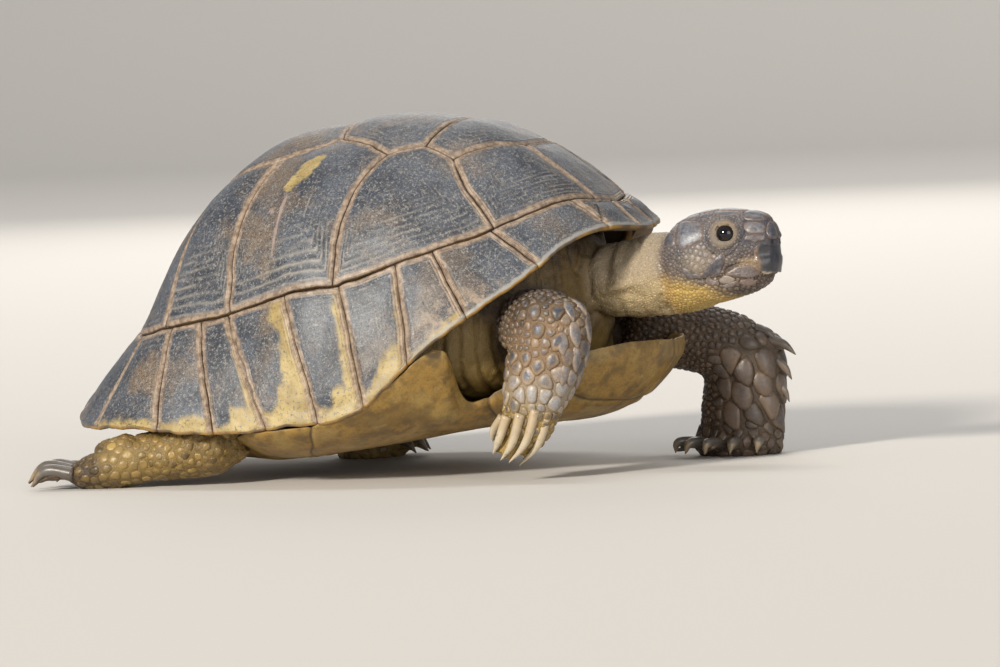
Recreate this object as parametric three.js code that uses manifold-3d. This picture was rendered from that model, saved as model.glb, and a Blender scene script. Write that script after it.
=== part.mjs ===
// A marginated tortoise in mid stride, as a still, life-size museum model.
// Millimetres. +X points to the head, +Y to the animal's left, +Z up, and the floor is Z = 0.
import * as THREE from "three";
import { mergeVertices } from "three/addons/utils/BufferGeometryUtils.js";
import Module from "manifold-3d";

const wasm = await Module();
wasm.setup();
const rad = THREE.MathUtils.degToRad;
const mix = THREE.MathUtils.lerp;
const V3 = (x, y, z) => new THREE.Vector3(x, y, z);

// ---- Driving dimensions -------------------------------------------------------------------------

const GAP = 0.3; // between pieces that touch

// The shell has its own frame: X forward and Z up from the flat underside of the plastron.
const SHELL_PITCH = rad(8.5); // front raised
const SHELL_LIFT = 11; // floor to that underside, at the frame's origin
const DOME_TOP = 107.5;
const DOME_APEX_X = -8;
const RIM_REACH_FRONT = 97; // apex to rim, in plan
const RIM_REACH_REAR = 107;
const RIM_HALF_WIDTH = 70.5;
const RIM_SQUARENESS = 2.13; // 2 is an ellipse
const SKIRT = { at: rad(143), spread: rad(24), swell: 0.09 }; // the flared rear edge
// Height of the rim above the plastron, from the nose round to the tail in even steps.
const RIM_HEIGHTS = [56, 57, 43, 29, 13, 13, 15, 22, 26, 35];

const PLATE = 2.2; // thickness of a horny plate
const PLATE_CROWN = 0.9; // rise of a plate's middle over the plain dome
const PLATE_CLEARANCE = 1.75; // plate to bone, room for both pieces' facets
const SHELL_WALL = 7; // plate and bone together
const SEAM = 0.0042; // half the seam's width, on the flattened dome

// ---- Helpers ------------------------------------------------------------------------------------

function meshed(points, faces) {
  const geometry = new THREE.BufferGeometry();
  const numbers = points.flatMap((p) => [p.x, p.y, p.z]);
  geometry.setAttribute("position", new THREE.Float32BufferAttribute(numbers, 3));
  geometry.setIndex(faces.flat());
  return geometry;
}

// A closed body from a top and a bottom sheet, each a centre point with rings round it, sewn along
// the outer edge. Every ring has the same count of points.
function sandwich(topCentre, topRings, bottomCentre, bottomRings) {
  const n = topRings[0].length;
  const points = [topCentre, ...topRings.flat(), bottomCentre, ...bottomRings.flat()];
  const faces = [];
  const sheet = (centre, rings, up) => {
    const at = (ring, i) => centre + 1 + ring * n + (i % n);
    const face = (a, b, c) => faces.push(up ? [a, b, c] : [a, c, b]);
    for (let i = 0; i < n; i++) {
      face(centre, at(0, i), at(0, i + 1));
      for (let r = 1; r < rings; r++) {
        face(at(r - 1, i), at(r, i), at(r, i + 1));
        face(at(r - 1, i), at(r, i + 1), at(r - 1, i + 1));
      }
    }
    return (i) => at(rings - 1, i);
  };
  const top = sheet(0, topRings.length, true);
  const bottom = sheet(1 + topRings.length * n, bottomRings.length, false);
  for (let i = 0; i < n; i++) {
    faces.push([top(i), bottom(i), bottom(i + 1)]);
    faces.push([top(i), bottom(i + 1), top(i + 1)]);
  }
  return meshed(points, faces);
}

function solid(geometry) {
  const plain = geometry.clone();
  plain.deleteAttribute("normal");
  plain.deleteAttribute("uv");
  const merged = mergeVertices(plain, 1e-4);
  return new wasm.Manifold(
    new wasm.Mesh({
      numProp: 3,
      vertProperties: Float32Array.from(merged.attributes.position.array),
      triVerts: Uint32Array.from(merged.index.array),
    }),
  );
}

// Cuts can leave crumbs beside a piece, so only its largest body is kept.
const largest = (body) => body.decompose().sort((a, b) => b.volume() - a.volume())[0];

function geometryOf(manifold) {
  const mesh = largest(manifold).getMesh();
  const geometry = new THREE.BufferGeometry();
  geometry.setAttribute("position", new THREE.BufferAttribute(mesh.vertProperties, 3));
  geometry.setIndex(new THREE.BufferAttribute(mesh.triVerts, 1));
  return geometry;
}

// ---- The dome as a formula ----------------------------------------------------------------------
// Its flattened plan is the unit disc: (0, 0) the apex, +u forward, +v left, and the rim at distance 1.

const PROFILES = {
  // [share of the way out to the rim, share of the height above it], from the apex at equal steps
  front: [[0, 1], [0.22, 0.98], [0.49, 0.84], [0.68, 0.63], [0.85, 0.32], [1, 0]],
  side: [[0, 1], [0.27, 0.94], [0.55, 0.83], [0.78, 0.66], [0.94, 0.38], [1, 0]],
  rear: [[0, 1], [0.19, 0.98], [0.405, 0.85], [0.575, 0.64], [0.75, 0.32], [1, 0]],
};
const curveThrough = (points) => new THREE.SplineCurve(points.map(([x, y]) => new THREE.Vector2(x, y)));
const profileCurves = {
  front: curveThrough(PROFILES.front),
  side: curveThrough(PROFILES.side),
  rear: curveThrough(PROFILES.rear),
};
const rimHeightCurve = curveThrough(RIM_HEIGHTS.map((z, i) => [i, z]));

function rimReach(angle) {
  const c = Math.cos(angle);
  const along = Math.abs(c) / (c > 0 ? RIM_REACH_FRONT : RIM_REACH_REAR);
  const across = Math.abs(Math.sin(angle)) / RIM_HALF_WIDTH;
  const offCentre = (Math.abs(angle) - SKIRT.at) / SKIRT.spread;
  const swell = 1 + SKIRT.swell * Math.exp(-offCentre * offCentre);
  return swell * (along ** RIM_SQUARENESS + across ** RIM_SQUARENESS) ** (-1 / RIM_SQUARENESS);
}

const rimHeight = (angle) => rimHeightCurve.getPoint(Math.abs(angle) / Math.PI).y;

function domeSurface(u, v) {
  const t = Math.min(Math.hypot(u, v), 1);
  const angle = Math.atan2(v, u);
  const c = Math.cos(angle);
  const side = profileCurves.side.getPoint(t);
  const end = (c > 0 ? profileCurves.front : profileCurves.rear).getPoint(t);
  const out = mix(side.x, end.x, Math.abs(c));
  const up = mix(side.y, end.y, Math.abs(c));
  const reach = rimReach(angle) * out;
  const floor = rimHeight(angle);
  return V3(DOME_APEX_X + reach * c, reach * Math.sin(angle), floor + (DOME_TOP - floor) * up);
}

// A point at a depth under the dome, square to it, and no more than a drop below the rim.
function domePoint(u, v, depth, drop = 0) {
  const STEP = 0.01;
  const shrink = Math.min(1, (1 - 2 * STEP) / Math.max(Math.hypot(u, v), STEP)); // keeps the probe inside
  const [pu, pv] = [u * shrink, v * shrink];
  const along = domeSurface(pu + STEP, pv).sub(domeSurface(pu - STEP, pv));
  const across = domeSurface(pu, pv + STEP).sub(domeSurface(pu, pv - STEP));
  const normal = along.cross(across).normalize();
  const point = domeSurface(u, v).addScaledVector(normal, -depth);
  point.z = Math.max(point.z, rimHeight(Math.atan2(v, u)) - drop);
  return point;
}

const polar = (angle, t) => [t * Math.cos(angle), t * Math.sin(angle)];

// The seam between the marginal plates and the plates above them.
function marginalSeam(angle) {
  const c = Math.cos(angle);
  return mix(0.755, c > 0 ? 0.87 : 0.82, c * c);
}

// ---- The layout of the horny plates, on the flattened dome ---------------------------------------

// Where seams meet on the left half, from the head backwards. The right half mirrors them.
const onSeam = (degrees) => polar(rad(degrees), marginalSeam(rad(degrees)));
const COSTAL_FEET = [9, 36, 81, 118, 141]; // degrees round the marginal seam
const [NUCHAL_END, TAIL_END] = [COSTAL_FEET[0], COSTAL_FEET.at(-1)];
const VERTEBRAL_JOINTS = [
  onSeam(NUCHAL_END),
  [0.59, 0.11],
  [0.35, 0.28],
  [0.04, 0.2],
  [-0.38, 0.15],
  onSeam(TAIL_END),
];
const VERTEBRAL_CORNERS = [[0.74, 0.13], [0.46, 0.32], [0.25, 0.34], [-0.17, 0.25], [-0.47, 0.25]];
// The marginals' own seams: degrees at their top, and how far each one leans at the rim.
const MARGINAL_SEAMS = [4, 17, 37, 52, 62, 79, 97, 119, 128, 138, 152, 167];
const MARGINAL_LEAN = [0, -3, -5, -3, 2, -2, -7, -14, -9, -6, -3, 0];
const OUTLINE_STEP = 0.15; // between an outline's points, about
const COSTAL_BOW = 0.03; // how far back a seam between two costal plates bows

const mirrored = (outline) => outline.map(([u, v]) => [u, -v]).reverse();

// A run of points along straight lines from corner to corner, without the last corner.
function straight(corners) {
  return corners.slice(0, -1).flatMap((a, i) => {
    const b = corners[i + 1];
    const count = Math.max(1, Math.round(Math.hypot(b[0] - a[0], b[1] - a[1]) / OUTLINE_STEP));
    const between = (k) => [mix(a[0], b[0], k / count), mix(a[1], b[1], k / count)];
    return Array.from({ length: count }, (_, k) => between(k));
  });
}

// A run of points round the dome at a distance given by a function, without the last point.
function round(fromDegrees, toDegrees, distance) {
  const length = rad(Math.abs(toDegrees - fromDegrees)) * distance(rad(fromDegrees));
  const count = Math.max(2, Math.round(length / OUTLINE_STEP));
  return Array.from({ length: count }, (_, k) => {
    const angle = rad(mix(fromDegrees, toDegrees, k / count));
    return polar(angle, distance(angle));
  });
}

const rim = () => 1;

// The seam in front of costal plate i + 1, from its foot up to the vertebral plates.
function costalSeam(i) {
  const [foot, head] = [onSeam(COSTAL_FEET[i]), VERTEBRAL_CORNERS[i]];
  const betweenCostals = i > 0 && i < 4;
  const count = 4;
  return Array.from({ length: count + 1 }, (_, k) => {
    const along = k / count;
    const bow = betweenCostals ? COSTAL_BOW * Math.sin(Math.PI * along) : 0;
    return [mix(foot[0], head[0], along) - bow, mix(foot[1], head[1], along)];
  });
}

// A rim plate between two of the marginals' seams, each leaning by some degrees at the rim.
function marginalOutline(from, to, leanFrom, leanTo) {
  return [
    ...round(from + leanFrom, to + leanTo, rim),
    ...straight([polar(rad(to + leanTo), 1), onSeam(to)]),
    ...round(to, from, marginalSeam),
    ...straight([onSeam(from), polar(rad(from + leanFrom), 1)]),
  ];
}

function plateOutlines() {
  const outlines = {};
  for (let i = 0; i < 5; i++) {
    const left = [VERTEBRAL_JOINTS[i], VERTEBRAL_CORNERS[i], VERTEBRAL_JOINTS[i + 1]];
    const right = mirrored(left);
    const overTail = round(TAIL_END, 360 - TAIL_END, marginalSeam);
    const overNeck = round(-NUCHAL_END, NUCHAL_END, marginalSeam);
    const back = i === 4 ? overTail : straight([left[2], right[0]]);
    const front = i === 0 ? overNeck : straight([right[2], left[0]]);
    outlines[`vertebral_${i + 1}`] = [...straight(left), ...back, ...straight(right), ...front];
  }
  for (let i = 0; i < 4; i++) {
    const foot = round(COSTAL_FEET[i], COSTAL_FEET[i + 1], marginalSeam);
    const top = straight([VERTEBRAL_CORNERS[i + 1], VERTEBRAL_JOINTS[i + 1], VERTEBRAL_CORNERS[i]]);
    const [up, down] = [costalSeam(i + 1).slice(0, -1), costalSeam(i).reverse().slice(0, -1)];
    const left = [...foot, ...up, ...top, ...down];
    outlines[`costal_left_${i + 1}`] = left;
    outlines[`costal_right_${i + 1}`] = mirrored(left);
  }
  for (let i = 0; i + 1 < MARGINAL_SEAMS.length; i++) {
    const [from, to] = MARGINAL_SEAMS.slice(i, i + 2);
    const left = marginalOutline(from, to, ...MARGINAL_LEAN.slice(i, i + 2));
    outlines[`marginal_left_${i + 1}`] = left;
    outlines[`marginal_right_${i + 1}`] = mirrored(left);
  }
  const [first, last] = [MARGINAL_SEAMS[0], MARGINAL_SEAMS.at(-1)];
  outlines.nuchal = marginalOutline(-first, first, 0, 0);
  outlines.supracaudal = marginalOutline(last, 360 - last, 0, 0);
  return outlines;
}

// The outline moved inwards by half a seam, with a limit where it turns sharply.
function inset(outline, by) {
  const SHARPEST = 0.4;
  const n = outline.length;
  return outline.map(([u, v], i) => {
    const [au, av] = outline[(i + n - 1) % n];
    const [bu, bv] = outline[(i + 1) % n];
    const before = Math.hypot(u - au, v - av);
    const after = Math.hypot(bu - u, bv - v);
    const nu = -(v - av) / before - (bv - v) / after;
    const nv = (u - au) / before + (bu - u) / after;
    const size = Math.hypot(nu, nv);
    const reach = by / Math.max(size / 2, SHARPEST);
    return [u + (nu / size) * reach, v + (nv / size) * reach];
  });
}

const SHOULDER = 0.6; // share of the way out, of the ring between a plate's middle and its edge
const HOLLOW = 0.9; // a plate's underside rises this much in the middle, clear of the bone's facets

function plate(outline) {
  const edge = inset(outline, SEAM);
  const centre = [0, 1].map((k) => edge.reduce((sum, p) => sum + p[k], 0) / edge.length);
  const towards = ([u, v], share) => [mix(centre[0], u, share), mix(centre[1], v, share)];
  const ring = (share, depth) => edge.map((point) => domePoint(...towards(point, share), depth));
  return sandwich(
    domePoint(...centre, -PLATE_CROWN),
    [ring(SHOULDER, -PLATE_CROWN * (1 - SHOULDER * SHOULDER)), ring(1, 0)],
    domePoint(...centre, PLATE - HOLLOW),
    [ring(SHOULDER, PLATE - HOLLOW / 2), ring(1, PLATE)],
  );
}

// The bony dome under the plates, open below: a thick sheet between two depths.
function domeSheet(outerDepth, innerDepth, drop = 0) {
  const [rings, sectors] = [7, 32];
  const ringAt = (r) => Math.sin((Math.PI / 2) * ((r + 1) / rings)); // closer towards the rim
  const place = (r, s) => polar((2 * Math.PI * s) / sectors, ringAt(r));
  const ring = (depth, r) => {
    return Array.from({ length: sectors }, (_, s) => domePoint(...place(r, s), depth, drop));
  };
  const sheet = (depth) => Array.from({ length: rings }, (_, r) => ring(depth, r));
  const middle = (depth) => domePoint(0, 0, depth);
  return sandwich(middle(outerDepth), sheet(outerDepth), middle(innerDepth), sheet(innerDepth));
}

// ---- The plastron -------------------------------------------------------------------------------
// A tray: flat in the middle, its edges turned up to the rim at the bridges and into lobes at both ends.

const PLASTRON_THICKNESS = 6;
const PLASTRON_LIP = 1.8; // thickness at its edge
const PLASTRON_FLAT = 0.66; // share of the way out that stays flat
const PLASTRON_RINGS = [PLASTRON_FLAT, 0.84, 0.94, 1];
const BRIDGE_INSET = { side: 0.8, down: 0.6 }; // the bridge ends this far inside the marginals' edge
const BRIDGE = { from: 53, to: 113, steps: 6 }; // degrees round the rim, between the leg openings
const REAR_LOBE_RISE = { from: -35, to: -90, by: 9 }; // the whole rear lobe slopes up
// Left half outline of the lobes as [x, y, height]: throat to front notch, then rear notch to tail.
const FRONT_LOBE = [
  [91, 0, 18],
  [92.5, 8, 19],
  [88, 20, 20],
  [78, 30, 20],
  [66, 36, 19],
  [54, 39, 16],
  [43, 41, 12],
  [30, 44, 6.5],
];
const REAR_LOBE = [
  [-47, 50, 11],
  [-56, 43, 11],
  [-66, 40, 11],
  [-77, 36, 11],
  [-86, 27, 11],
  [-89, 13, 11],
  [-82, 0, 11],
];

function plastronEdge() {
  const bridge = Array.from({ length: BRIDGE.steps + 1 }, (_, k) => {
    const angle = rad(mix(BRIDGE.from, BRIDGE.to, k / BRIDGE.steps));
    const reach = rimReach(angle) - BRIDGE_INSET.side;
    const height = rimHeight(angle) - BRIDGE_INSET.down;
    return V3(DOME_APEX_X + reach * Math.cos(angle), reach * Math.sin(angle), height);
  });
  const left = [...FRONT_LOBE.map((p) => V3(...p)), ...bridge, ...REAR_LOBE.map((p) => V3(...p))];
  return [...left, ...left.slice(1, -1).reverse().map(({ x, y, z }) => V3(x, -y, z))];
}

function rearLobeRise(x) {
  const { from, to, by } = REAR_LOBE_RISE;
  return by * THREE.MathUtils.smoothstep(-x, -from, -to);
}

function plastron(grow = 0) {
  const edge = plastronEdge();
  const place = ({ x, y, z }, share, side) => {
    const bend = ((share - PLASTRON_FLAT) / (1 - PLASTRON_FLAT)) ** 2;
    const under = (z - PLASTRON_LIP) * bend + rearLobeRise(x * share);
    const thickness = mix(PLASTRON_THICKNESS, PLASTRON_LIP, bend);
    const spread = share * (1 + grow / Math.hypot(x, y));
    const height = side === "top" ? under + thickness + grow : under - grow;
    return V3(x * spread, y * spread, height);
  };
  const sheet = (side) => PLASTRON_RINGS.map((share) => edge.map((point) => place(point, share, side)));
  return sandwich(V3(0, 0, PLASTRON_THICKNESS + grow), sheet("top"), V3(0, 0, -grow), sheet("under"));
}

// ---- Flesh: lofts -------------------------------------------------------------------------------

// A closed body through rings; each ring has the same count of points.
function loft(rings) {
  const n = rings[0].length;
  const centre = (ring) => ring.reduce((sum, p) => sum.add(p), V3(0, 0, 0)).divideScalar(n);
  const points = [...rings.flat(), centre(rings[0]), centre(rings.at(-1))];
  const faces = [];
  const first = rings.length * n;
  for (let i = 0; i < n; i++) {
    const j = (i + 1) % n;
    for (let r = 0; r + 1 < rings.length; r++) {
      const [a, b] = [r * n, (r + 1) * n];
      faces.push([a + i, a + j, b + j], [a + i, b + j, b + i]);
    }
    const last = (rings.length - 1) * n;
    faces.push([first, j, i], [first + 1, last + i, last + j]);
  }
  return meshed(points, faces);
}

const CAP = [[0.62, 0.4], [0.42, 0.8]]; // [reach, size] of a round end's rings, in half thicknesses

// A limb along a spine of [x, y, z, half width, half thickness], with round ends. Its width turns
// towards a hint.
function limb(spine, widthTowards, sides = 10) {
  const places = spine.map(([x, y, z]) => V3(x, y, z));
  const last = places.length - 1;
  const rings = [];
  const add = (i, shift, scale) => {
    const [before, after] = [places[Math.max(i - 1, 0)], places[Math.min(i + 1, last)]];
    const tangent = after.clone().sub(before).normalize();
    const across = widthTowards.clone().addScaledVector(tangent, -widthTowards.dot(tangent)).normalize();
    const through = tangent.clone().cross(across);
    const [, , , width, thickness] = spine[i];
    const centre = places[i].clone().addScaledVector(tangent, shift);
    rings.push(Array.from({ length: sides }, (_, k) => {
      const turn = (2 * Math.PI * k) / sides;
      return centre.clone()
        .addScaledVector(across, width * scale * Math.cos(turn))
        .addScaledVector(through, thickness * scale * Math.sin(turn));
    }));
  };
  CAP.forEach(([reach, size]) => add(0, -reach * spine[0][4], size));
  spine.forEach((_, i) => add(i, 0, 1));
  CAP.toReversed().forEach(([reach, size]) => add(last, reach * spine[last][4], size));
  return loft(rings);
}

const CLAW_TAPER = [1, 0.75, 0.15]; // thickness at the root, the middle and the tip
const CLAW_SIDES = 6;

// A claw from its root to its tip, curving over a lifted middle.
function claw(root, tip, radius, arch) {
  const [from, to] = [V3(...root), V3(...tip)];
  const middle = from.clone().lerp(to, 0.5).add(V3(...arch));
  const curve = new THREE.QuadraticBezierCurve3(from, middle, to);
  const rings = CLAW_TAPER.map((size, i) => {
    const share = i / (CLAW_TAPER.length - 1);
    const tangent = curve.getTangent(share);
    const across = tangent.clone().cross(V3(0.01, 0.02, 1)).normalize(); // near upright, never along a claw
    const through = tangent.clone().cross(across);
    return Array.from({ length: CLAW_SIDES }, (_, k) => {
      const turn = (2 * Math.PI * k) / CLAW_SIDES;
      return curve.getPoint(share)
        .addScaledVector(across, radius * size * Math.cos(turn))
        .addScaledVector(through, radius * size * Math.sin(turn));
    });
  });
  return loft(rings);
}

const union = (geometries) => geometries.map(solid).reduce((sum, part) => sum.add(part));
const UPWARDS = [0, 0, 1];

// ---- The shell's place --------------------------------------------------------------------------

const shell = new THREE.Group();
shell.rotation.y = -SHELL_PITCH;
shell.position.z = SHELL_LIFT;
shell.updateMatrix();
const inShell = (geometry) => solid(geometry.clone().applyMatrix4(shell.matrix));

// ---- Trunk --------------------------------------------------------------------------------------

const TRUNK = {
  reach: 0.85, // share of the dome's plan that it fills
  underSide: 7.5, // height of its belly over the plastron's flat underside
  underEdge: 14, // how much its belly's edge turns up
  bellyFlat: 0.6, // share of the way out that stays flat
  clearance: 2, // room for its facets under the bone's
  sectors: 26,
  rings: [0.35, 0.65, 0.85, 1],
};
const MEAN_REACH = (RIM_REACH_FRONT + RIM_HALF_WIDTH) / 2;

function trunkBody(grow = 0) {
  const { sectors, rings } = TRUNK;
  const depth = SHELL_WALL + TRUNK.clearance - grow;
  const angles = Array.from({ length: sectors }, (_, s) => (2 * Math.PI * s) / sectors);
  const reach = TRUNK.reach + grow / MEAN_REACH;
  const top = rings.map((share) => angles.map((a) => domePoint(...polar(a, reach * share), depth)));
  const bottom = rings.map((share) => top.at(-1).map(({ x, y }) => {
    const edge = Math.max(0, (share - TRUNK.bellyFlat) / (1 - TRUNK.bellyFlat)) ** 2;
    return V3(x * share, y * share, TRUNK.underSide + TRUNK.underEdge * edge - grow);
  }));
  const body = sandwich(domePoint(0, 0, depth), top, V3(0, 0, TRUNK.underSide - grow), bottom);
  return inShell(body).subtract(inShell(plastron(GAP)));
}

const trunk = trunkBody();
const shellKeepOut = inShell(domeSheet(-PLATE_CROWN - GAP, SHELL_WALL + GAP, GAP));
const keepOut = trunkBody(GAP).add(shellKeepOut).add(inShell(plastron(GAP)));

// ---- Neck and head ------------------------------------------------------------------------------

const HEAD = { x: 108.5, y: -3, z: 68.3, yaw: rad(-8) };
const HEAD_SECTIONS = [
  // [forward, half width, above, below] of the head's own origin
  [18.6, 2.6, 6, 2.5],
  [17.4, 5, 11.2, 5.6],
  [14.6, 7.4, 14.4, 9],
  [10, 9.3, 15.2, 11.6],
  [4, 11.2, 15.9, 13.2],
  [-2.5, 13.2, 16.1, 14.8],
  [-9, 14.6, 15.2, 16.8],
  [-14.5, 14.2, 13, 18.2],
  [-18.5, 12.6, 9.6, 18.6],
];
const HEAD_SQUARENESS = 2.5;
const HEAD_SIDES = 18;
const HEAD_BACK = HEAD_SECTIONS.at(-1)[0];
const PAST_SNOUT = 30; // forward of the whole head
// The side view of the mouth and of the horny beak's top edge, as [forward, up] of the head's origin.
const MOUTH = [[PAST_SNOUT, -6.2], [13.5, -4.6], [9, -3.2], [3, -3.6], [-1, -6.4], [-5.5, -8.8]];
const BEAK_TOP = [[PAST_SNOUT, 0.8], [8.5, -0.4]];
const JAW_DEPTH = -40; // below the whole head
const BEAK_DEPTH = -12;
const EYE = { x: 4.2, y: 8.3, z: 8, radius: 3.6 };

const headPlace = new THREE.Group();
headPlace.position.set(HEAD.x, HEAD.y, HEAD.z);
headPlace.rotation.z = HEAD.yaw;
headPlace.updateMatrix();
const inHead = (geometry) => solid(geometry.clone().applyMatrix4(headPlace.matrix));

function headBody() {
  const power = 2 / HEAD_SQUARENESS;
  const rounded = (value) => Math.sign(value) * Math.abs(value) ** power;
  const pointOn = ([x, half, above, below], k) => {
    const turn = (2 * Math.PI * k) / HEAD_SIDES;
    const up = rounded(Math.sin(turn));
    return V3(x, -half * rounded(Math.cos(turn)), up * (up > 0 ? above : below));
  };
  const ring = (section) => Array.from({ length: HEAD_SIDES }, (_, k) => pointOn(section, k));
  return inHead(loft(HEAD_SECTIONS.map(ring)));
}

// A straight-sided block across the head: everything under a line, down to a depth.
function blockUnder(line, depth) {
  const halfWidth = 30;
  const outline = [...line, [line.at(-1)[0], depth], [line[0][0], depth]];
  const shape = new THREE.Shape(outline.map(([x, z]) => new THREE.Vector2(x, z)));
  const block = new THREE.ExtrudeGeometry(shape, { depth: 2 * halfWidth, bevelEnabled: false });
  block.rotateX(Math.PI / 2);
  block.translate(0, halfWidth, 0);
  return inHead(block);
}

function eyeball(side, grow = 0) {
  const ball = new THREE.SphereGeometry(EYE.radius + grow, 12, 7);
  ball.translate(EYE.x, side * EYE.y, EYE.z);
  return inHead(ball);
}

const skull = headBody();
const raised = (line, by) => line.map(([x, z]) => [x, z + by]);
const wholeJaw = skull.intersect(blockUnder(raised(MOUTH, -GAP / 2), JAW_DEPTH));
const upperHead = skull.subtract(blockUnder(raised(MOUTH, GAP / 2), JAW_DEPTH));
const upperBeak = upperHead.intersect(blockUnder(BEAK_TOP, BEAK_DEPTH));
const [beakFront, beakBack] = raised(BEAK_TOP, GAP);
const beakRoom = blockUnder([beakFront, [beakBack[0] - GAP, beakBack[1]]], BEAK_DEPTH);
const headFlesh = upperHead.subtract(beakRoom).subtract(eyeball(1, GAP)).subtract(eyeball(-1, GAP));

// Spines hold [x, y, z, half width, half thickness].
const NECK_SPINE = [
  [52, 1, 60, 15, 13.5],
  [66, 1, 61, 13.5, 12.6],
  [80, 0.5, 62.6, 13.5, 13.6],
  [88, 0, 63.6, 13.6, 14.4],
];
const HEAD_ROOM = 60;
const headBlock = new THREE.BoxGeometry(HEAD_ROOM, HEAD_ROOM, HEAD_ROOM);
const headKeepOut = inHead(headBlock.translate(HEAD_ROOM / 2 + HEAD_BACK - GAP, 0, 0));

// ---- Tail, legs and feet ------------------------------------------------------------------------

const ACROSS = V3(0, 1, 0);
const ALONG = V3(1, 0, 0);
const TAIL_SPINE = [[-78, 0, 24, 9, 8], [-92, 1, 21, 6.5, 6], [-101, 3, 15, 4, 4], [-106, 4, 9, 2, 2]];

const LEG_END = 1; // a planted leg stops at this height, and its foot goes on to the floor

// Each leg is an upper and a lower limb; each foot is a short limb with its claws, as [root, tip, arch].
const LEGS = {
  front_right: {
    upper: [[38, -22, 44, 12, 12], [54, -40, 50, 12.5, 12], [63, -47, 52, 12, 10.5]],
    lower: [
      [64.5, -47, 53, 13, 9.5],
      [64, -49, 45, 14.6, 9.5],
      [60.5, -51, 34, 13.2, 8.6],
      [57.5, -52, 25, 10.8, 7.6],
    ],
    foot: [[57, -52, 24, 10.2, 7.4], [55, -52, 17, 9.2, 6.6]],
    towards: ALONG,
    claws: [
      [[61, -50, 18], [52, -52, 5.2], [3, 0, -1]],
      [[57.5, -54, 16], [50, -56, 6.5], [2, 0, -1]],
      [[53.5, -56, 15], [48, -58, 7.5], [1, 0, -1]],
      [[50, -55, 15], [45, -57, 9.5], [0, 0, -1]],
      [[48, -51, 16.5], [43, -52, 13], [-1, 0, 0]],
    ],
    clawRadius: 2.2,
  },
  front_left: {
    upper: [[48, 24, 42, 12, 12], [74, 37, 42, 12.5, 12], [92, 44, 37, 13, 12]],
    lower: [[96, 45, 36, 14.5, 12], [95.5, 45.5, 25, 14.5, 11.5], [93.5, 46, 13, 15, 11.5]],
    foot: [[93.5, 46, 11, 15, 11.5], [92.5, 46, 1, 15.4, 12]],
    towards: ALONG,
    claws: [
      [[80, 41, 4.5], [73.5, 35, 1.6], [-2, -2, 2]],
      [[84, 36.5, 4.5], [79, 29.5, 1.6], [-1, -2, 2]],
      [[90, 34.5, 4.5], [87, 26.5, 1.6], [-1, -2, 2]],
      [[96, 35.5, 4.5], [95.5, 27.5, 1.6], [0, -2, 2]],
      [[102, 38.5, 4.5], [103.5, 31.5, 1.6], [1, -2, 2]],
    ],
    clawRadius: 2.2,
  },
  hind_right: {
    upper: [[-38, -28, 32, 13, 13], [-50, -44, 20, 12, 11.5], [-58, -50, 14, 11.5, 10.5]],
    lower: [[-57, -50, 13, 12.5, 11], [-68, -53, 11.6, 12, 10], [-80, -56, 9.5, 10, 8.2]],
    foot: [[-80, -56, 8.6, 10.4, 8], [-92, -58, 6.4, 10.8, 6.6], [-101, -59, 4.6, 9.6, 5]],
    towards: ACROSS,
    claws: [
      [[-102, -51, 5.5], [-115, -50, 1.6], [-1, 0, 3]],
      [[-104, -56, 6], [-119, -56, 2.4], [-1, 0, 3.4]],
      [[-104, -61.5, 6], [-119, -63, 2.4], [-1, 0, 3.4]],
      [[-102, -66.5, 5.5], [-115, -69, 1.6], [-1, 0, 3]],
    ],
    clawRadius: 2.5,
  },
  hind_left: {
    upper: [[-42, 26, 32, 13, 13], [-42, 42, 25, 12.5, 12.5], [-41, 51, 20, 12, 11.5]],
    lower: [[-41, 51.5, 19, 12, 11.5], [-45, 54, 13, 11.5, 11.5], [-48, 55, 9, 12, 12]],
    foot: [[-47, 55, 8, 12.5, 12], [-45, 56, 1, 13.5, 13]],
    towards: ALONG,
    claws: [
      [[-35, 51, 4.5], [-26.5, 49, 1.6], [0, 0, 2.6]],
      [[-34, 56, 4.8], [-25, 56.5, 1.6], [0, 0, 2.8]],
      [[-35.5, 61, 4.8], [-27.5, 64.5, 1.6], [0, 0, 2.8]],
      [[-39, 65, 4.5], [-33, 71, 1.6], [0, 0, 2.6]],
    ],
    clawRadius: 2.4,
  },
};

function legSolids({ upper, lower, foot, towards, claws, clawRadius }) {
  const wider = foot.map(([x, y, z, width, thickness]) => [x, y, z, width + GAP, thickness + GAP]);
  const leg = union([limb(upper, towards), limb(lower, towards)]);
  const clawed = union([
    limb(foot, towards),
    ...claws.map(([root, tip, arch]) => claw(root, tip, clawRadius, arch)),
  ]);
  return {
    leg: leg.subtract(keepOut).subtract(solid(limb(wider, towards))).trimByPlane(UPWARDS, LEG_END),
    foot: clawed.subtract(keepOut).trimByPlane(UPWARDS, 0),
  };
}

// ---- Assembly -----------------------------------------------------------------------------------

const FINISHES = {
  plate: { color: 0x3c4048, roughness: 0.55 },
  bone: { color: 0x8a7350, roughness: 0.8 },
  plastron: { color: 0xa08a48, roughness: 0.6 },
  skin: { color: 0x8d7f58, roughness: 0.8 },
  legs: { color: 0x6f675c, roughness: 0.7 },
  head: { color: 0x4a4b52, roughness: 0.6 },
  horn: { color: 0x9a8a68, roughness: 0.45 },
  eye: { color: 0x0c0a09, roughness: 0.1 },
};

function named(name, geometry, finish) {
  const material = new THREE.MeshStandardMaterial({ metalness: 0, ...FINISHES[finish] });
  const mesh = new THREE.Mesh(geometry, material);
  mesh.name = name;
  return mesh;
}

const tortoise = new THREE.Group();
tortoise.add(shell);
shell.add(named("carapace_bone", domeSheet(PLATE + PLATE_CLEARANCE, SHELL_WALL), "bone"));
shell.add(named("plastron", plastron(), "plastron"));
for (const [name, outline] of Object.entries(plateOutlines())) {
  shell.add(named(name, plate(outline), "plate"));
}

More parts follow.
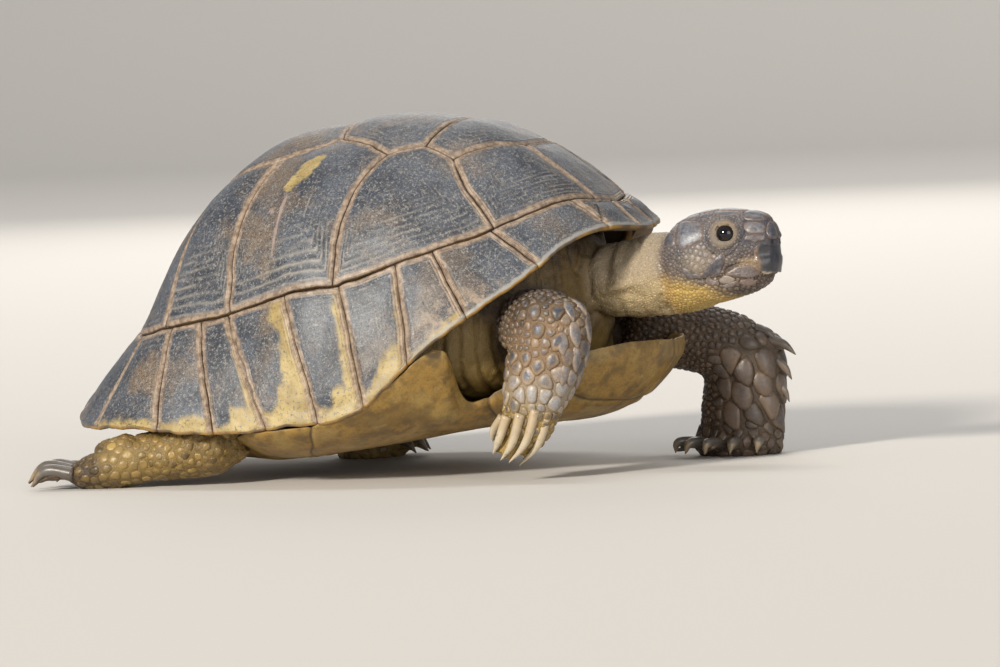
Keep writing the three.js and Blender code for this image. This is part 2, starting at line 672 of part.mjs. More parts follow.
const neck = solid(limb(NECK_SPINE, ACROSS, 16)).subtract(keepOut).subtract(headKeepOut);
const tail = solid(limb(TAIL_SPINE, ACROSS)).subtract(keepOut);
tortoise.add(named("trunk", geometryOf(trunk), "skin"));
tortoise.add(named("head", geometryOf(headFlesh), "head"));
tortoise.add(named("beak", geometryOf(upperBeak), "horn"));
tortoise.add(named("jaw", geometryOf(wholeJaw), "head"));
tortoise.add(named("eye_left", geometryOf(eyeball(1)), "eye"));
tortoise.add(named("eye_right", geometryOf(eyeball(-1)), "eye"));
tortoise.add(named("neck", geometryOf(neck), "skin"));
tortoise.add(named("tail", geometryOf(tail), "skin"));
for (const [place, parts] of Object.entries(LEGS)) {
  const { leg, foot } = legSolids(parts);
  tortoise.add(named(`leg_${place}`, geometryOf(leg), "legs"));
  tortoise.add(named(`foot_${place}`, geometryOf(foot), "legs"));
}

// The origin goes to the middle of the whole animal's box, on the floor.
const bounds = new THREE.Box3().setFromObject(tortoise, true);
const middle = bounds.getCenter(V3(0, 0, 0));
tortoise.position.set(-middle.x, -middle.y, -bounds.min.z);

export default tortoise;
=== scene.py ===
import math

import bmesh
import bpy
import numpy as np
from mathutils import Matrix, Vector
from mathutils.bvhtree import BVHTree
from mathutils.kdtree import KDTree


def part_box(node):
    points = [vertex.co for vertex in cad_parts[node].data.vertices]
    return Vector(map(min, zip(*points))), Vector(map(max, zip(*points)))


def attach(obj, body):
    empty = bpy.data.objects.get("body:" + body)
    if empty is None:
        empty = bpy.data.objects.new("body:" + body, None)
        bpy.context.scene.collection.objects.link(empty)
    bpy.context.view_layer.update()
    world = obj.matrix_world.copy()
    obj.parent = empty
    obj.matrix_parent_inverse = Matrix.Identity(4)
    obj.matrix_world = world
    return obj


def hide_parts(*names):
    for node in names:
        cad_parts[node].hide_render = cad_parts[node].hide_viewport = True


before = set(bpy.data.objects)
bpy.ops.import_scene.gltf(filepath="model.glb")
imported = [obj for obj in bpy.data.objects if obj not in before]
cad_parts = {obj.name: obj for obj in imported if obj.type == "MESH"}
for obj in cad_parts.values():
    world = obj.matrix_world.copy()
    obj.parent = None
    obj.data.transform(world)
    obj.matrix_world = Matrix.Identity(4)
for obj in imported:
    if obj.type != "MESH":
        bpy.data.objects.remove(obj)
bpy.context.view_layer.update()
MM = 0.001
bpy.ops.object.select_all(action="DESELECT")

# %% [markdown]
# ## Camera, floor and light
# A long lens stands almost level with the animal, a little ahead of a square side view, and is tilted by
# two and a half degrees. Its axes are worked out from these angles, so the matrix needs no constraint.
# %% Camera
AZIMUTH = math.radians(22)
ELEVATION = math.radians(3.1)
TILT = math.radians(-2.5)
DISTANCE = 1.91
LENS = 206
AIM = Vector((0.0176, 0.0113, 0.0442))


def camera_axes():
    back = Vector((
        math.sin(AZIMUTH) * math.cos(ELEVATION),
        -math.cos(AZIMUTH) * math.cos(ELEVATION),
        math.sin(ELEVATION),
    ))
    right = Vector((0, 0, 1)).cross(back).normalized()
    turn = Matrix.Rotation(TILT, 3, back)
    return turn @ right, turn @ back.cross(right), back


right, up, back = camera_axes()
bpy.ops.object.camera_add()
camera = bpy.context.object
camera.name = "camera"
camera.data.lens = LENS
camera.data.clip_end = 50
axes = Matrix((right, up, back)).transposed().to_4x4()
camera.matrix_world = Matrix.Translation(AIM + back * DISTANCE) @ axes
bpy.context.scene.camera = camera
print("camera at", tuple(round(v, 3) for v in camera.matrix_world.translation))

# %% [markdown]
# The floor is a sheet whose far edge is extruded into a tall sweep, so that no horizon line shows. One
# lamp stands in for a low sun behind the camera's left shoulder. A big soft lamp and a pale sky fill
# the shade, a faint lamp behind the animal draws its outline, and one is turned to the backdrop. The
# view transform is Standard, which shows each colour as it is set.
# %% Floor and light
FLOOR_SIZE = 8.0
SWEEP_RADIUS = 2.0
SWEEP_CUTS = 12
WALL_HEIGHT = 4
PAPER_COLOUR = (0.62, 0.585, 0.54, 1)
SKY_COLOUR = (0.80, 0.86, 0.95, 1)
SKY_STRENGTH = 0.36
ANIMAL = (0, 0, 0.05)
LAMPS = [  # name, size in metres, power in watts, place, colour, and where it is turned to
    ("sun", 0.7, 315, (-1.4, -4.4, 2.05), (1.0, 0.95, 0.86), ANIMAL),
    ("fill", 3.0, 80, (3.3, -3.0, 1.0), (1.0, 0.97, 0.93), ANIMAL),
    ("rim", 1.6, 14, (-0.8, 2.2, 1.2), (1.0, 0.98, 0.95), ANIMAL),
    ("backdrop", 2.5, 110, (0, 0.5, 3.4), (1.0, 0.99, 0.97), (0, 6.0, 1.3)),
]


def make_floor():
    bpy.ops.mesh.primitive_plane_add(size=FLOOR_SIZE)
    floor = bpy.context.object
    floor.name = "floor"
    bpy.ops.object.mode_set(mode="EDIT")
    bpy.ops.mesh.select_all(action="DESELECT")
    bpy.ops.object.mode_set(mode="OBJECT")
    for edge in floor.data.edges:
        edge.select = all(floor.data.vertices[i].co.y > 0 for i in edge.vertices)
    bpy.ops.object.mode_set(mode="EDIT")
    bpy.ops.mesh.select_mode(type="EDGE")
    length = SWEEP_RADIUS * math.pi / 2 / SWEEP_CUTS
    for cut in range(SWEEP_CUTS):
        angle = math.pi / 2 * (cut + 0.5) / SWEEP_CUTS
        move = (0, length * math.cos(angle), length * math.sin(angle))
        bpy.ops.mesh.extrude_region_move(TRANSFORM_OT_translate={"value": move})
    bpy.ops.mesh.extrude_region_move(TRANSFORM_OT_translate={"value": (0, 0, WALL_HEIGHT)})
    bpy.ops.object.mode_set(mode="OBJECT")
    bpy.ops.object.shade_smooth()
    return floor


def add_lamp(name, size, power, place, colour, target):
    bpy.ops.object.light_add(type="AREA", location=place)
    lamp = bpy.context.object
    lamp.name = name
    lamp.data.shape = "DISK"
    lamp.data.size = size
    lamp.data.energy = power
    lamp.data.color = colour
    lamp.rotation_euler = (Vector(target) - Vector(place)).to_track_quat("-Z", "Y").to_euler()


floor = make_floor()
paper = bpy.data.materials.new("paper")
paper.use_nodes = True
paper_shader = paper.node_tree.nodes["Principled BSDF"]
paper_shader.inputs["Base Color"].default_value = PAPER_COLOUR
paper_shader.inputs["Roughness"].default_value = 0.9
floor.data.materials.append(paper)
for lamp in LAMPS:
    add_lamp(*lamp)
world = bpy.data.worlds.new("studio")
world.use_nodes = True
sky = world.node_tree.nodes["Background"]
sky.inputs["Color"].default_value = SKY_COLOUR
sky.inputs["Strength"].default_value = SKY_STRENGTH
bpy.context.scene.world = world
bpy.context.scene.view_settings.view_transform = "Standard"
print("floor,", len(LAMPS), "lamps and sky")

# %% [markdown]
# ## Helpers for relief and materials
# Horn and skin are never even. `cloud` gives soft random heights at any size, the same ones each run.
# `Finish` builds a material one line at a time: each method adds a node and returns its output, so that
# a recipe reads from top to bottom. Distances in a recipe are in metres, as everywhere.
# %% Soft random values
PRIMES = np.array([73856093, 19349663, 83492791])  # they scatter the cells of the lattice
STIR, SEED_STEP = 2246822519, 1013904223


def cloud(points, size, seed=0):
    """Random values from -1 to 1 that change smoothly over about this size."""
    lattice = np.asarray(points, float) / size
    cell = np.floor(lattice).astype(np.int64)
    share = lattice - cell
    share = share * share * (3 - 2 * share)
    total = np.zeros(len(lattice))
    for corner in np.ndindex(2, 2, 2):
        mixed = (cell + corner) @ PRIMES + SEED_STEP * (seed + 1)
        mixed = (mixed ^ (mixed >> 15)) * STIR
        mixed = (mixed ^ (mixed >> 13)) & 0xFFFF
        total += np.prod(np.where(corner, share, 1 - share), axis=1) * (mixed / 32767.5 - 1)
    return total


def steps(value, low, high):
    """0 below low, 1 above high and a smooth slope between them."""
    share = np.clip((np.asarray(value, float) - low) / (high - low), 0, 1)
    return share * share * (3 - 2 * share)


def unit(vectors):
    return vectors / np.maximum(np.linalg.norm(vectors, axis=-1, keepdims=True), 1e-12)


def search_tree(points):
    """A tree that finds the nearest of these points quickly."""
    tree = KDTree(len(points))
    for i, point in enumerate(points):
        tree.insert(point, i)
    tree.balance()
    return tree


print("a cloud from", cloud(np.eye(3), 0.7).min().round(2), "to", cloud(np.eye(3), 0.7).max().round(2))

# %% [markdown]
# The material builder keeps the node tree out of sight, since only the order of the recipe matters.
# %% The material builder
class Finish:
    """A Principled material with a node added by each method."""

    def __init__(self, name):
        self.material = bpy.data.materials.new(name)
        self.material.use_nodes = True
        self.tree = self.material.node_tree
        self.shader = self.tree.nodes["Principled BSDF"]
        self.place = self.node("TexCoord").outputs["Object"]

    def node(self, kind, settings=None, **inputs):
        node = self.tree.nodes.new("ShaderNode" + kind)
        for key, value in (settings or {}).items():
            setattr(node, key, value)
        for key, value in inputs.items():
            self.feed(node.inputs[key.replace("_", " ")], value)
        return node

    def feed(self, socket, value):
        if isinstance(value, bpy.types.NodeSocket):
            self.tree.links.new(value, socket)
        elif isinstance(value, tuple) and len(value) == 3 and socket.type == "RGBA":
            socket.default_value = (*value, 1)
        else:
            socket.default_value = value

    def attribute(self, name):
        return self.node("Attribute", {"attribute_name": name}).outputs["Fac"]

    def stretched(self, scale):
        return self.node("Mapping", Vector=self.place, Scale=scale).outputs["Vector"]

    def noise(self, size, detail=3.0, rough=0.55, where=None, distortion=0.0):
        return self.node("TexNoise", Vector=where or self.place, Scale=1 / size, Detail=detail,
                         Roughness=rough, Distortion=distortion).outputs["Fac"]

    def cell_edges(self, size):
        return self.node("TexVoronoi", {"feature": "DISTANCE_TO_EDGE"}, Vector=self.place,
                         Scale=1 / size).outputs["Distance"]

    def steps(self, value, low, high):
        return self.node("MapRange", {"interpolation_type": "SMOOTHSTEP"}, Value=value,
                         From_Min=low, From_Max=high).outputs["Result"]

    def math(self, operation, a, b=0.0):
        node = self.node("Math", {"operation": operation})
        self.feed(node.inputs[0], a)
        self.feed(node.inputs[1], b)
        return node.outputs[0]

    def times(self, a, b):
        return self.math("MULTIPLY", a, b)

    def plus(self, a, b):
        return self.math("ADD", a, b)

    def less(self, value):
        """What is left of 1."""
        return self.math("SUBTRACT", 1.0, value)

    def mix(self, share, a, b, blend="MIX"):
        node = self.node("Mix", {"data_type": "RGBA", "blend_type": blend})
        self.feed(node.inputs[0], share)
        self.feed(node.inputs[6], a)
        self.feed(node.inputs[7], b)
        return node.outputs[2]

    def bump(self, height, distance, strength=1.0, after=None):
        node = self.node("Bump", Height=height, Distance=distance, Strength=strength)
        if after is not None:
            self.feed(node.inputs["Normal"], after)
        return node.outputs["Normal"]

    def finish(self, **sockets):
        for key, value in sockets.items():
            self.feed(self.shader.inputs[key.replace("_", " ")], value)
        return self.material


print("helpers ready")

# %% [markdown]
# ## The shell's horny plates
# A plate of horn grows by adding a ring round its edge each season, so its surface is a stack of
# outlines that shrink towards the oldest spot, the areola. That is also the best mesh for it. A grid
# primitive is wrapped round the areola: its columns go round the plate, and its rows run from the
# areola out to the edge, over it and back under. Rings, seams and the worn edge then follow rows.
# The outline comes from the CAD plate, and a cubic surface through its points gives the curve.
# %% Read a CAD plate
PITCH = math.radians(8.5)  # the shell is carried with its front raised
SHELL_FORWARD = np.array([math.cos(PITCH), 0, math.sin(PITCH)])
SHELL_UP = np.array([-math.sin(PITCH), 0, math.cos(PITCH)])
DOME_MIDDLE = np.array([-5, 0, 37]) * MM  # inside the shell: every plate is seen from here
CROWN = 0.9 * MM  # rise of a CAD plate's middle over the plain dome
VERTEBRALS = [f"vertebral_{i}" for i in range(1, 6)]
COSTALS = [f"costal_{side}_{i}" for side in ("left", "right") for i in range(1, 5)]
MARGINALS = [f"marginal_{side}_{i}" for side in ("left", "right") for i in range(1, 12)]
RIM_PLATES = ["nuchal", *MARGINALS, "supracaudal"]
PLATES = VERTEBRALS + COSTALS + RIM_PLATES


def merged(node):
    """A bmesh of a CAD node with its doubled points merged."""
    bm = bmesh.new()
    bm.from_mesh(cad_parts[node].data)
    bmesh.ops.remove_doubles(bm, verts=bm.verts, dist=0.02 * MM)
    return bm


def walk_round(ring):
    """The vertices of a closed ring, in order."""
    path = [min(ring, key=lambda v: v.index)]
    while True:
        near = [e.other_vert(path[-1]) for e in path[-1].link_edges]
        onward = [v for v in near if v in ring and v not in path]
        if not onward:
            return path
        path.append(onward[0])


def plate_sheet(node):
    """A CAD plate's middle, the ring halfway out, and its outline, anticlockwise from outside."""
    bm = merged(node)
    mean = sum((v.co for v in bm.verts), Vector()) / len(bm.verts)
    poles = sorted(bm.verts, key=lambda v: (v.co - mean).length)[:2]
    pole = max(poles, key=lambda v: np.linalg.norm(np.array(v.co) - DOME_MIDDLE))
    inner = {e.other_vert(pole) for e in pole.link_edges}
    outer = {e.other_vert(v) for v in inner for e in v.link_edges} - inner - {pole}
    middle = np.array(pole.co)
    half = np.array([v.co[:] for v in sorted(inner, key=lambda v: v.index)])
    outline = np.array([v.co[:] for v in walk_round(outer)])
    bm.free()
    assert len(half) == len(outline), node
    turn = np.cross(outline - middle, np.roll(outline, -1, 0) - middle).sum(0)
    return middle, half, outline if turn @ (middle - DOME_MIDDLE) > 0 else outline[::-1]


sheets = {node: plate_sheet(node) for node in PLATES}
print(len(sheets), "plates read")

# %% [markdown]
# The plain dome under the plates is one smooth function: how far the surface is from a point inside the
# shell, in each direction. It is fitted through every point of the CAD plates, less their crowns.
# %% The smooth dome
def dome_points():
    for middle, half, outline in sheets.values():
        for points, rise in ((middle[None], CROWN), (half, CROWN * 0.64), (outline, 0)):
            away = points - DOME_MIDDLE
            reach = np.linalg.norm(away, axis=1)
            yield np.column_stack([away / reach[:, None], reach - rise])


class Dome:
    """A radial surface that passes as smoothly as it can through the plates."""

    def __init__(self):
        table = np.concatenate(list(dome_points()))
        self.ways, reach = table[:, :3], table[:, 3]
        gap = self.gaps(self.ways)
        n = len(table)
        system = np.zeros((n + 4, n + 4))
        system[:n, :n] = gap ** 3 + 2e-5 * np.eye(n)
        system[:n, n:] = system[n:, :n].T[:] = np.column_stack([np.ones(n), self.ways])
        answer = np.linalg.solve(system, np.append(reach, np.zeros(4)))
        self.weights, self.base, self.slope = answer[:n], answer[n], answer[n + 1:]

    def gaps(self, ways):
        return np.sqrt(np.maximum(2 - 2 * ways @ self.ways.T, 0))

    def project(self, points):
        """The surface points in the directions of the given points, and the normals there."""
        ways = unit(points - DOME_MIDDLE)
        feet, normals = np.empty_like(ways), np.empty_like(ways)
        for first in range(0, len(ways), 20000):
            part = slice(first, first + 20000)
            way = ways[part]
            gap = self.gaps(way)
            reach = gap ** 3 @ self.weights + self.base + way @ self.slope
            pull = gap * self.weights
            change = 3 * (pull.sum(1)[:, None] * way - pull @ self.ways) + self.slope
            change -= (change * way).sum(1)[:, None] * way
            feet[part] = DOME_MIDDLE + way * reach[:, None]
            normals[part] = unit(way - change / reach[:, None])
        return feet, normals


dome = Dome()
sample = sheets["costal_right_2"][2]
off = np.linalg.norm(dome.project(sample)[0] - sample, axis=1).max() / MM
print("the dome passes", off.round(3), "mm from a costal plate's outline")

# %% [markdown]
# A plate's outline is rounded through the CAD points but keeps its corners. A little waviness is added
# that depends only on the place, so that two neighbours wave together and the seam keeps its width.
# %% Plate outlines
COLUMN_STEP = 0.9 * MM
CORNER_TURN = 38  # degrees that tell a plate's corner from a bend
SEAM_FILL = 0.33 * MM  # how far each plate grows into the CAD seam


def corners_of(loop):
    before = unit(loop - np.roll(loop, 1, 0))
    after = unit(np.roll(loop, -1, 0) - loop)
    return np.degrees(np.arccos(np.clip((before * after).sum(1), -1, 1))) > CORNER_TURN


def rounded_outline(loop):
    """Points along the outline, a column apart, with the number of the side that each is on."""
    corner = corners_of(loop)
    side = np.cumsum(corner) % corner.sum()
    n = len(loop)
    points, sides = [], []
    for i in range(n):
        a, b = loop[i], loop[(i + 1) % n]
        before = 2 * a - b if corner[i] else loop[i - 1]
        after = 2 * b - a if corner[(i + 1) % n] else loop[(i + 2) % n]
        count = max(2, round(np.linalg.norm(b - a) / COLUMN_STEP))
        t = (np.arange(count) / count)[:, None]
        curve = 2 * a + (b - before) * t + (2 * before - 5 * a + 4 * b - after) * t * t
        points.append((curve + (3 * a - before - 3 * b + after) * t ** 3) / 2)
        sides += [side[i]] * count
    return np.concatenate(points), np.array(sides)


def wavy(points):
    shift = [cloud(points, 5 * MM, seed) * 0.42 * MM + cloud(points, 1.7 * MM, seed + 5) * 0.16 * MM
             for seed in (1, 2, 3)]
    return points + np.stack(shift, 1)


def grown(points, normals, by):
    """The closed loop moved outwards in its surface."""
    along = unit(np.roll(points, -1, 0) - np.roll(points, 1, 0))
    return points + np.cross(along, normals) * by


def edge_distance(points, loop, part=slice(None)):
    """How far each point is from the closed loop, or from a part of its columns."""
    step = (np.roll(loop, -1, 0) - loop)[part]
    fine = np.concatenate([loop[part] + step * share for share in (0, 0.25, 0.5, 0.75)])
    tree = search_tree(fine)
    return np.array([tree.find(point)[2] for point in points])


print("outline helpers ready")

# %% [markdown]
# The markings are this animal's own. A stroke is a line on the shell with a width, such as the yellow
# patch high on the third right costal plate. The yellow of the rim plates lies in a band down the front
# side and along the lower edge of each, and its share changes from plate to plate.
# %% Markings of the shell
STROKES = {  # millimetres: start, end, half the width
    "yellow": [
        ((-33.4, -41.0, 96.8), (-31.4, -38.0, 99.8), 2.3),
        ((-30.6, -37.6, 99.8), (-28.6, -33.6, 103.6), 3.4),
        ((-28.4, -33.0, 104.2), (-26.2, -31.0, 105.6), 2.2),
    ],
    "pale": [
        ((-33.0, -44.0, 94.4), (-33.6, -52.0, 83.0), 0.7),
        ((-33.6, -52.0, 83.0), (-34.4, -57.5, 73.0), 0.5),
        ((-38.0, -46.3, 89.3), (-37.0, -46.8, 88.8), 1.0),
    ],
    "crack": [
        ((64.0, -25.0, 84.6), (65.6, -18.4, 87.4), 0.3),
        ((65.6, -18.4, 87.4), (65.0, -8.0, 89.6), 0.3),
        ((65.6, -19.5, 87.0), (70.0, -24.8, 81.0), 0.3),
    ],
}
YELLOW_BANDS = {  # rim plate: the front band's share of its width, the low band's height in millimetres
    4: (0, 2.5), 5: (0.12, 8), 6: (0.3, 9), 7: (0.4, 12), 8: (0.24, 8), 9: (0.08, 4), 10: (0, 2),
}


def stroke_cover(points, strokes):
    """How far each point is inside a stroke, from 0 to 1, with an uneven edge."""
    cover = np.zeros(len(points))
    for start, end, width in strokes:
        start, end = np.array(start) * MM, np.array(end) * MM
        way = end - start
        share = np.clip((points - start) @ way / (way @ way), 0, 1)
        off = np.linalg.norm(points - start - share[:, None] * way, axis=1) / (width * MM)
        cover = np.maximum(cover, 1 - steps(off + 0.25 * cloud(points, 1.8 * MM, 41), 0.8, 1.15))
    return cover


def yellow_bands(node, outline, sides, on_rim, points, rim):
    """The yellow of a rim plate: a band along its front side and one along the rim."""
    number = int(node.split("_")[-1]) if node in MARGINALS else 0
    if number not in YELLOW_BANDS:
        return np.zeros(len(points))
    first = np.flatnonzero(on_rim & ~np.roll(on_rim, 1))[0]
    last = np.flatnonzero(on_rim & ~np.roll(on_rim, -1))[0]
    ends = (sides[first - 1], sides[(last + 1) % len(sides)])
    rear, front = sorted(ends, key=lambda side: (outline[sides == side] @ SHELL_FORWARD).mean())
    to_front, to_rear = (edge_distance(points, outline, sides == side) for side in (front, rear))
    along = to_front / (to_front + to_rear)
    width, height = YELLOW_BANDS[number]
    wobble = cloud(points, 7 * MM, 51) * 0.6 + cloud(points, 2.2 * MM, 52) * 0.4
    band = 1 - steps(along + 0.14 * wobble + 0.004 * rim, width - 0.05, width + 0.07)
    toe = steps(along, 0.5, 0.62) * (1 - steps(along, 0.9, 0.98)) * height * 0.62
    low = 1 - steps(rim + 3.2 * wobble + toe, height - 1.5, height + 1.5)
    return np.maximum(band * (width > 0), low)


print("markings ready")

# %% [markdown]
# A plate's top rows are copies of its outline that shrink towards the areola. Relief is then added along
# the dome's normal: the crown, the groove at the seam, the two or three thin ridges that run beside a
# seam, the growth rings, and the worn unevenness of old horn. Each point keeps a few values for the
# material, such as its distance from the seam and from the rim.
# %% Wrap a grid into a plate
TOP_ROWS = 46
EDGE_ROWS = 12  # of them, how many lie close together near the seam
EDGE_SHARE = 0.86
HORN = 2.0 * MM
ROLL, ROLL_WIDTH = 0.35 * MM, 1.6 * MM  # the thick edge of a rim plate
AREOLAS = {  # where the oldest horn lies, as shares of the way from the middle: up the dome, to the tail
    "vertebral": (0.05, 0.22),
    "costal": (0.42, 0.12),
    "marginal": (-0.5, 0.42),
    "nuchal": (0.0, 0.0),
    "supracaudal": (-0.3, 0.0),
}
RING_STRENGTHS = {"vertebral": 0.55, "costal": 1.0, "marginal": 0.4, "nuchal": 0.2, "supracaudal": 0.4}


def grid_piece(name, rows):
    """A piece from rows of points that go round. The first and last row may be one point."""
    bpy.ops.object.select_all(action="DESELECT")
    count, around = rows.shape[0], rows.shape[1]
    bpy.ops.mesh.primitive_grid_add(x_subdivisions=around, y_subdivisions=count - 1, calc_uvs=False)
    piece = bpy.context.object
    piece.name = piece.data.name = name
    wrapped = np.concatenate([rows, rows[:, :1]], axis=1)
    piece.data.vertices.foreach_set("co", wrapped.astype(np.float32).ravel())
    return piece


def keep_values(piece, rows_shape, **values):
    """Stores a value for each point of a wrapped grid, as an attribute that a material can read."""
    for key, value in values.items():
        layer = piece.data.attributes.new(key, "FLOAT", "POINT")
        full = np.full(rows_shape[:2], 1.0 if key == "under" else 0.0)
        full[:len(value)] = value
        wrapped = np.concatenate([full, full[:, :1]], axis=1)
        layer.data.foreach_set("value", wrapped.astype(np.float32).ravel())


def close_piece(piece, merge):
    """Merges points nearer than `merge` and turns every face outwards."""
    bpy.ops.object.mode_set(mode="EDIT")
    bpy.ops.mesh.select_all(action="SELECT")
    bpy.ops.mesh.remove_doubles(threshold=merge)
    bpy.ops.mesh.normals_make_consistent(inside=False)
    bpy.ops.object.mode_set(mode="OBJECT")
    bpy.ops.object.shade_smooth()
    return piece


print("grids have", TOP_ROWS, "rows on top")

# %% [markdown]
# Horn starts at the areola, the oldest spot, and each ring round it is one season's growth. Old horn is
# worn smooth in the middle, so the rings and ridges show only towards the seams.
# %% Relief of the horn
def areola_of(node, outline):
    middle = outline.mean(0)
    _, (normal,) = dome.project(middle[None])
    up = unit(SHELL_UP + unit(middle - DOME_MIDDLE) * 0.2 - normal * (SHELL_UP @ normal))
    up -= normal * (up @ normal)
    rearward = -SHELL_FORWARD + normal * (SHELL_FORWARD @ normal)
    shares = AREOLAS[node.split("_")[0]]
    place = middle.copy()
    for way, share in zip((unit(up), unit(rearward)), shares):
        spread = (outline - middle) @ way
        place += way * share * (spread.max() if share > 0 else -spread.min())
    return dome.project(place[None])[0][0]


def growth(share, reach, points, strength):
    """Height from 0 to 1 of the growth rings, and how strongly they show."""
    rings = 14.5 * share + 0.45 * cloud(points, 14 * MM, 21) + 0.1 * cloud(points, 4 * MM, 22)
    phase = rings - np.floor(rings)
    ridge = np.clip(1 - np.abs(phase - 0.6) / 0.3, 0, 1) ** 1.2
    shows = steps(share, 0.3, 0.45) * steps(reach / reach.max(), 0.5, 0.82) * strength
    return ridge, shows * np.clip(0.8 + 0.5 * cloud(points, 12 * MM, 23), 0.1, 1.2)


def relief(share, reach, edge, points, strength):
    """The height of the worn horn over the plain dome, and its ring crests, for a painted highlight."""
    d = edge / MM
    ridge, shows = growth(share, reach, points, strength)
    crown = CROWN * (1 - share ** 2)
    groove = -0.5 * np.exp(-(d / 0.36) ** 2) - 0.1 * np.exp(-(d / 2.4) ** 2)
    bands = 0.17 * np.cos(2 * np.pi * (d - 0.75) / 0.92) * steps(d, 0.15, 0.6) * (1 - steps(d, 1.9, 3.1))
    rings = 0.17 * (ridge - 0.3) * shows * steps(d, 2.2, 3.6)
    waves = 0.16 * cloud(points, 9 * MM, 31) + 0.07 * cloud(points, 3.2 * MM, 32)
    grain = 0.035 * cloud(points, 1.1 * MM, 33) * steps(d, 0.3, 1)
    return crown + (groove + bands + rings + waves * steps(d, 0, 2.5) + grain) * MM, ridge * shows


print("relief ready")

# %% [markdown]
# Now every plate is made: its outline, its grid, its relief, its values and its underside. A rim plate
# turns over a rounded nose and comes back under the shell as a lip, shorter where the bridge joins it.
# %% Make the plates
def make_plate(node):
    """One horny plate, shaped, marked and standing for its CAD node."""
    outline, sides = rounded_outline(sheets[node][2])
    feet, normals = dome.project(wavy(outline))
    outline = grown(feet, normals, SEAM_FILL)
    on_rim = rim_columns(node, outline, sides)
    middle = areola_of(node, outline)
    reach = np.linalg.norm(outline - middle, axis=1)
    shares = np.concatenate([np.linspace(0, EDGE_SHARE, TOP_ROWS - EDGE_ROWS, endpoint=False),
                             np.linspace(EDGE_SHARE, 1, EDGE_ROWS)])
    flat = middle + (outline - middle) * shares[:, None, None]
    feet, normals = dome.project(flat.reshape(-1, 3))
    share = np.repeat(shares, len(outline))
    seam = edge_distance(feet, outline, ~on_rim)
    rim = edge_distance(feet, outline, on_rim) if on_rim.any() else np.full(len(feet), 99 * MM)
    strength = RING_STRENGTHS[node.split("_")[0]]
    height, ridge = relief(share, np.tile(reach, len(shares)), seam, feet, strength)
    hollow = 0.6 * np.exp(-((rim - 4 * MM) / (2 * MM)) ** 2)
    height += ROLL * (np.exp(-(rim / ROLL_WIDTH) ** 2) - hollow)
    top = (feet + normals * height[:, None]).reshape(*flat.shape)
    normals = normals.reshape(*flat.shape)
    below = lip_rows(node, on_rim, middle, top[-1], normals[-1])
    rows = np.concatenate([top, below])
    piece = grid_piece("horn_" + node, rows)
    # ridge marks the crests of the growth rings, on which the horn material paints a highlight.
    values = {"seam": seam / MM, "ridge": ridge, "under": np.zeros(len(feet)), "rim": rim / MM,
              "yellow": yellow_bands(node, outline, sides, on_rim, feet, rim / MM)}
    for key, strokes in STROKES.items():
        values[key] = np.maximum(values.get(key, 0), stroke_cover(feet, strokes))
    keep_values(piece, rows.shape, **{k: v.reshape(len(shares), -1) for k, v in values.items()})
    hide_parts(node)
    return close_piece(piece, 0.002 * MM)


def rim_columns(node, outline, sides):
    """Which columns are on the shell's rim: the lowest side of a rim plate."""
    if node not in RIM_PLATES:
        return np.zeros(len(outline), bool)
    height = [(outline[sides == side] @ SHELL_UP).mean() for side in range(sides.max() + 1)]
    return sides == int(np.argmin(height))


def inner_rows(middle, outline, normals, count):
    """The edge of a plate on the dome and its underside, closed at the middle."""
    rows = [outline - normals * HORN * depth for depth in np.linspace(0.3, 1, count - 2)]
    feet, ways = dome.project(middle + (outline - middle) * 0.6)
    rows.append(feet - ways * HORN)
    foot, way = dome.project(middle[None])
    rows.append(np.repeat(foot - way * HORN, len(outline), axis=0))
    return np.array(rows)


NOSE = 0.9 * MM  # radius of the rim
LIP = 9 * MM  # how far the horn comes back under the shell
BRIDGE_LIP = 1.4 * MM
BRIDGE_PLATES = [f"marginal_{side}_{i}" for side in ("left", "right") for i in (4, 5, 6, 7)]
LIP_STEPS = [(0.3, 0.1), (0.65, 0.5), (1, 1.3), (1, 2.6)]  # share of the lip inwards, millimetres up


def lip_rows(node, on_rim, middle, outline, normals):
    """What closes a plate below: its underside, and on the rim a rounded nose with a lip behind it."""
    turns = np.linspace(0.3, 1, 4)
    plain = inner_rows(middle, outline, normals, len(turns) + len(LIP_STEPS) + 1)
    if not on_rim.any():
        return plain
    downhill = unit(normals * (normals @ SHELL_UP)[:, None] - SHELL_UP)
    inward = unit(SHELL_UP * (normals @ SHELL_UP)[:, None] - normals)
    turned = np.arccos(np.clip(-normals @ SHELL_UP, -1, 1))
    rows = []
    for turn in turns:
        angle = (turned * turn)[:, None]
        rows.append(outline + NOSE * (downhill * np.sin(angle) + normals * (np.cos(angle) - 1)))
    lip = BRIDGE_LIP if node in BRIDGE_PLATES else LIP
    for share, rise in LIP_STEPS:
        rows.append(rows[len(turns) - 1] + inward * lip * share + SHELL_UP * rise * MM)
    rows.append(plain[-1])
    away = edge_distance(outline, outline, on_rim)
    blend = np.exp(-away / (0.8 * MM))[:, None]
    return plain + (np.array(rows) - plain) * blend


plate_pieces = [make_plate(node) for node in PLATES]
print(len(plate_pieces), "plates,", sum(len(p.data.polygons) for p in plate_pieces) * 2, "triangles")
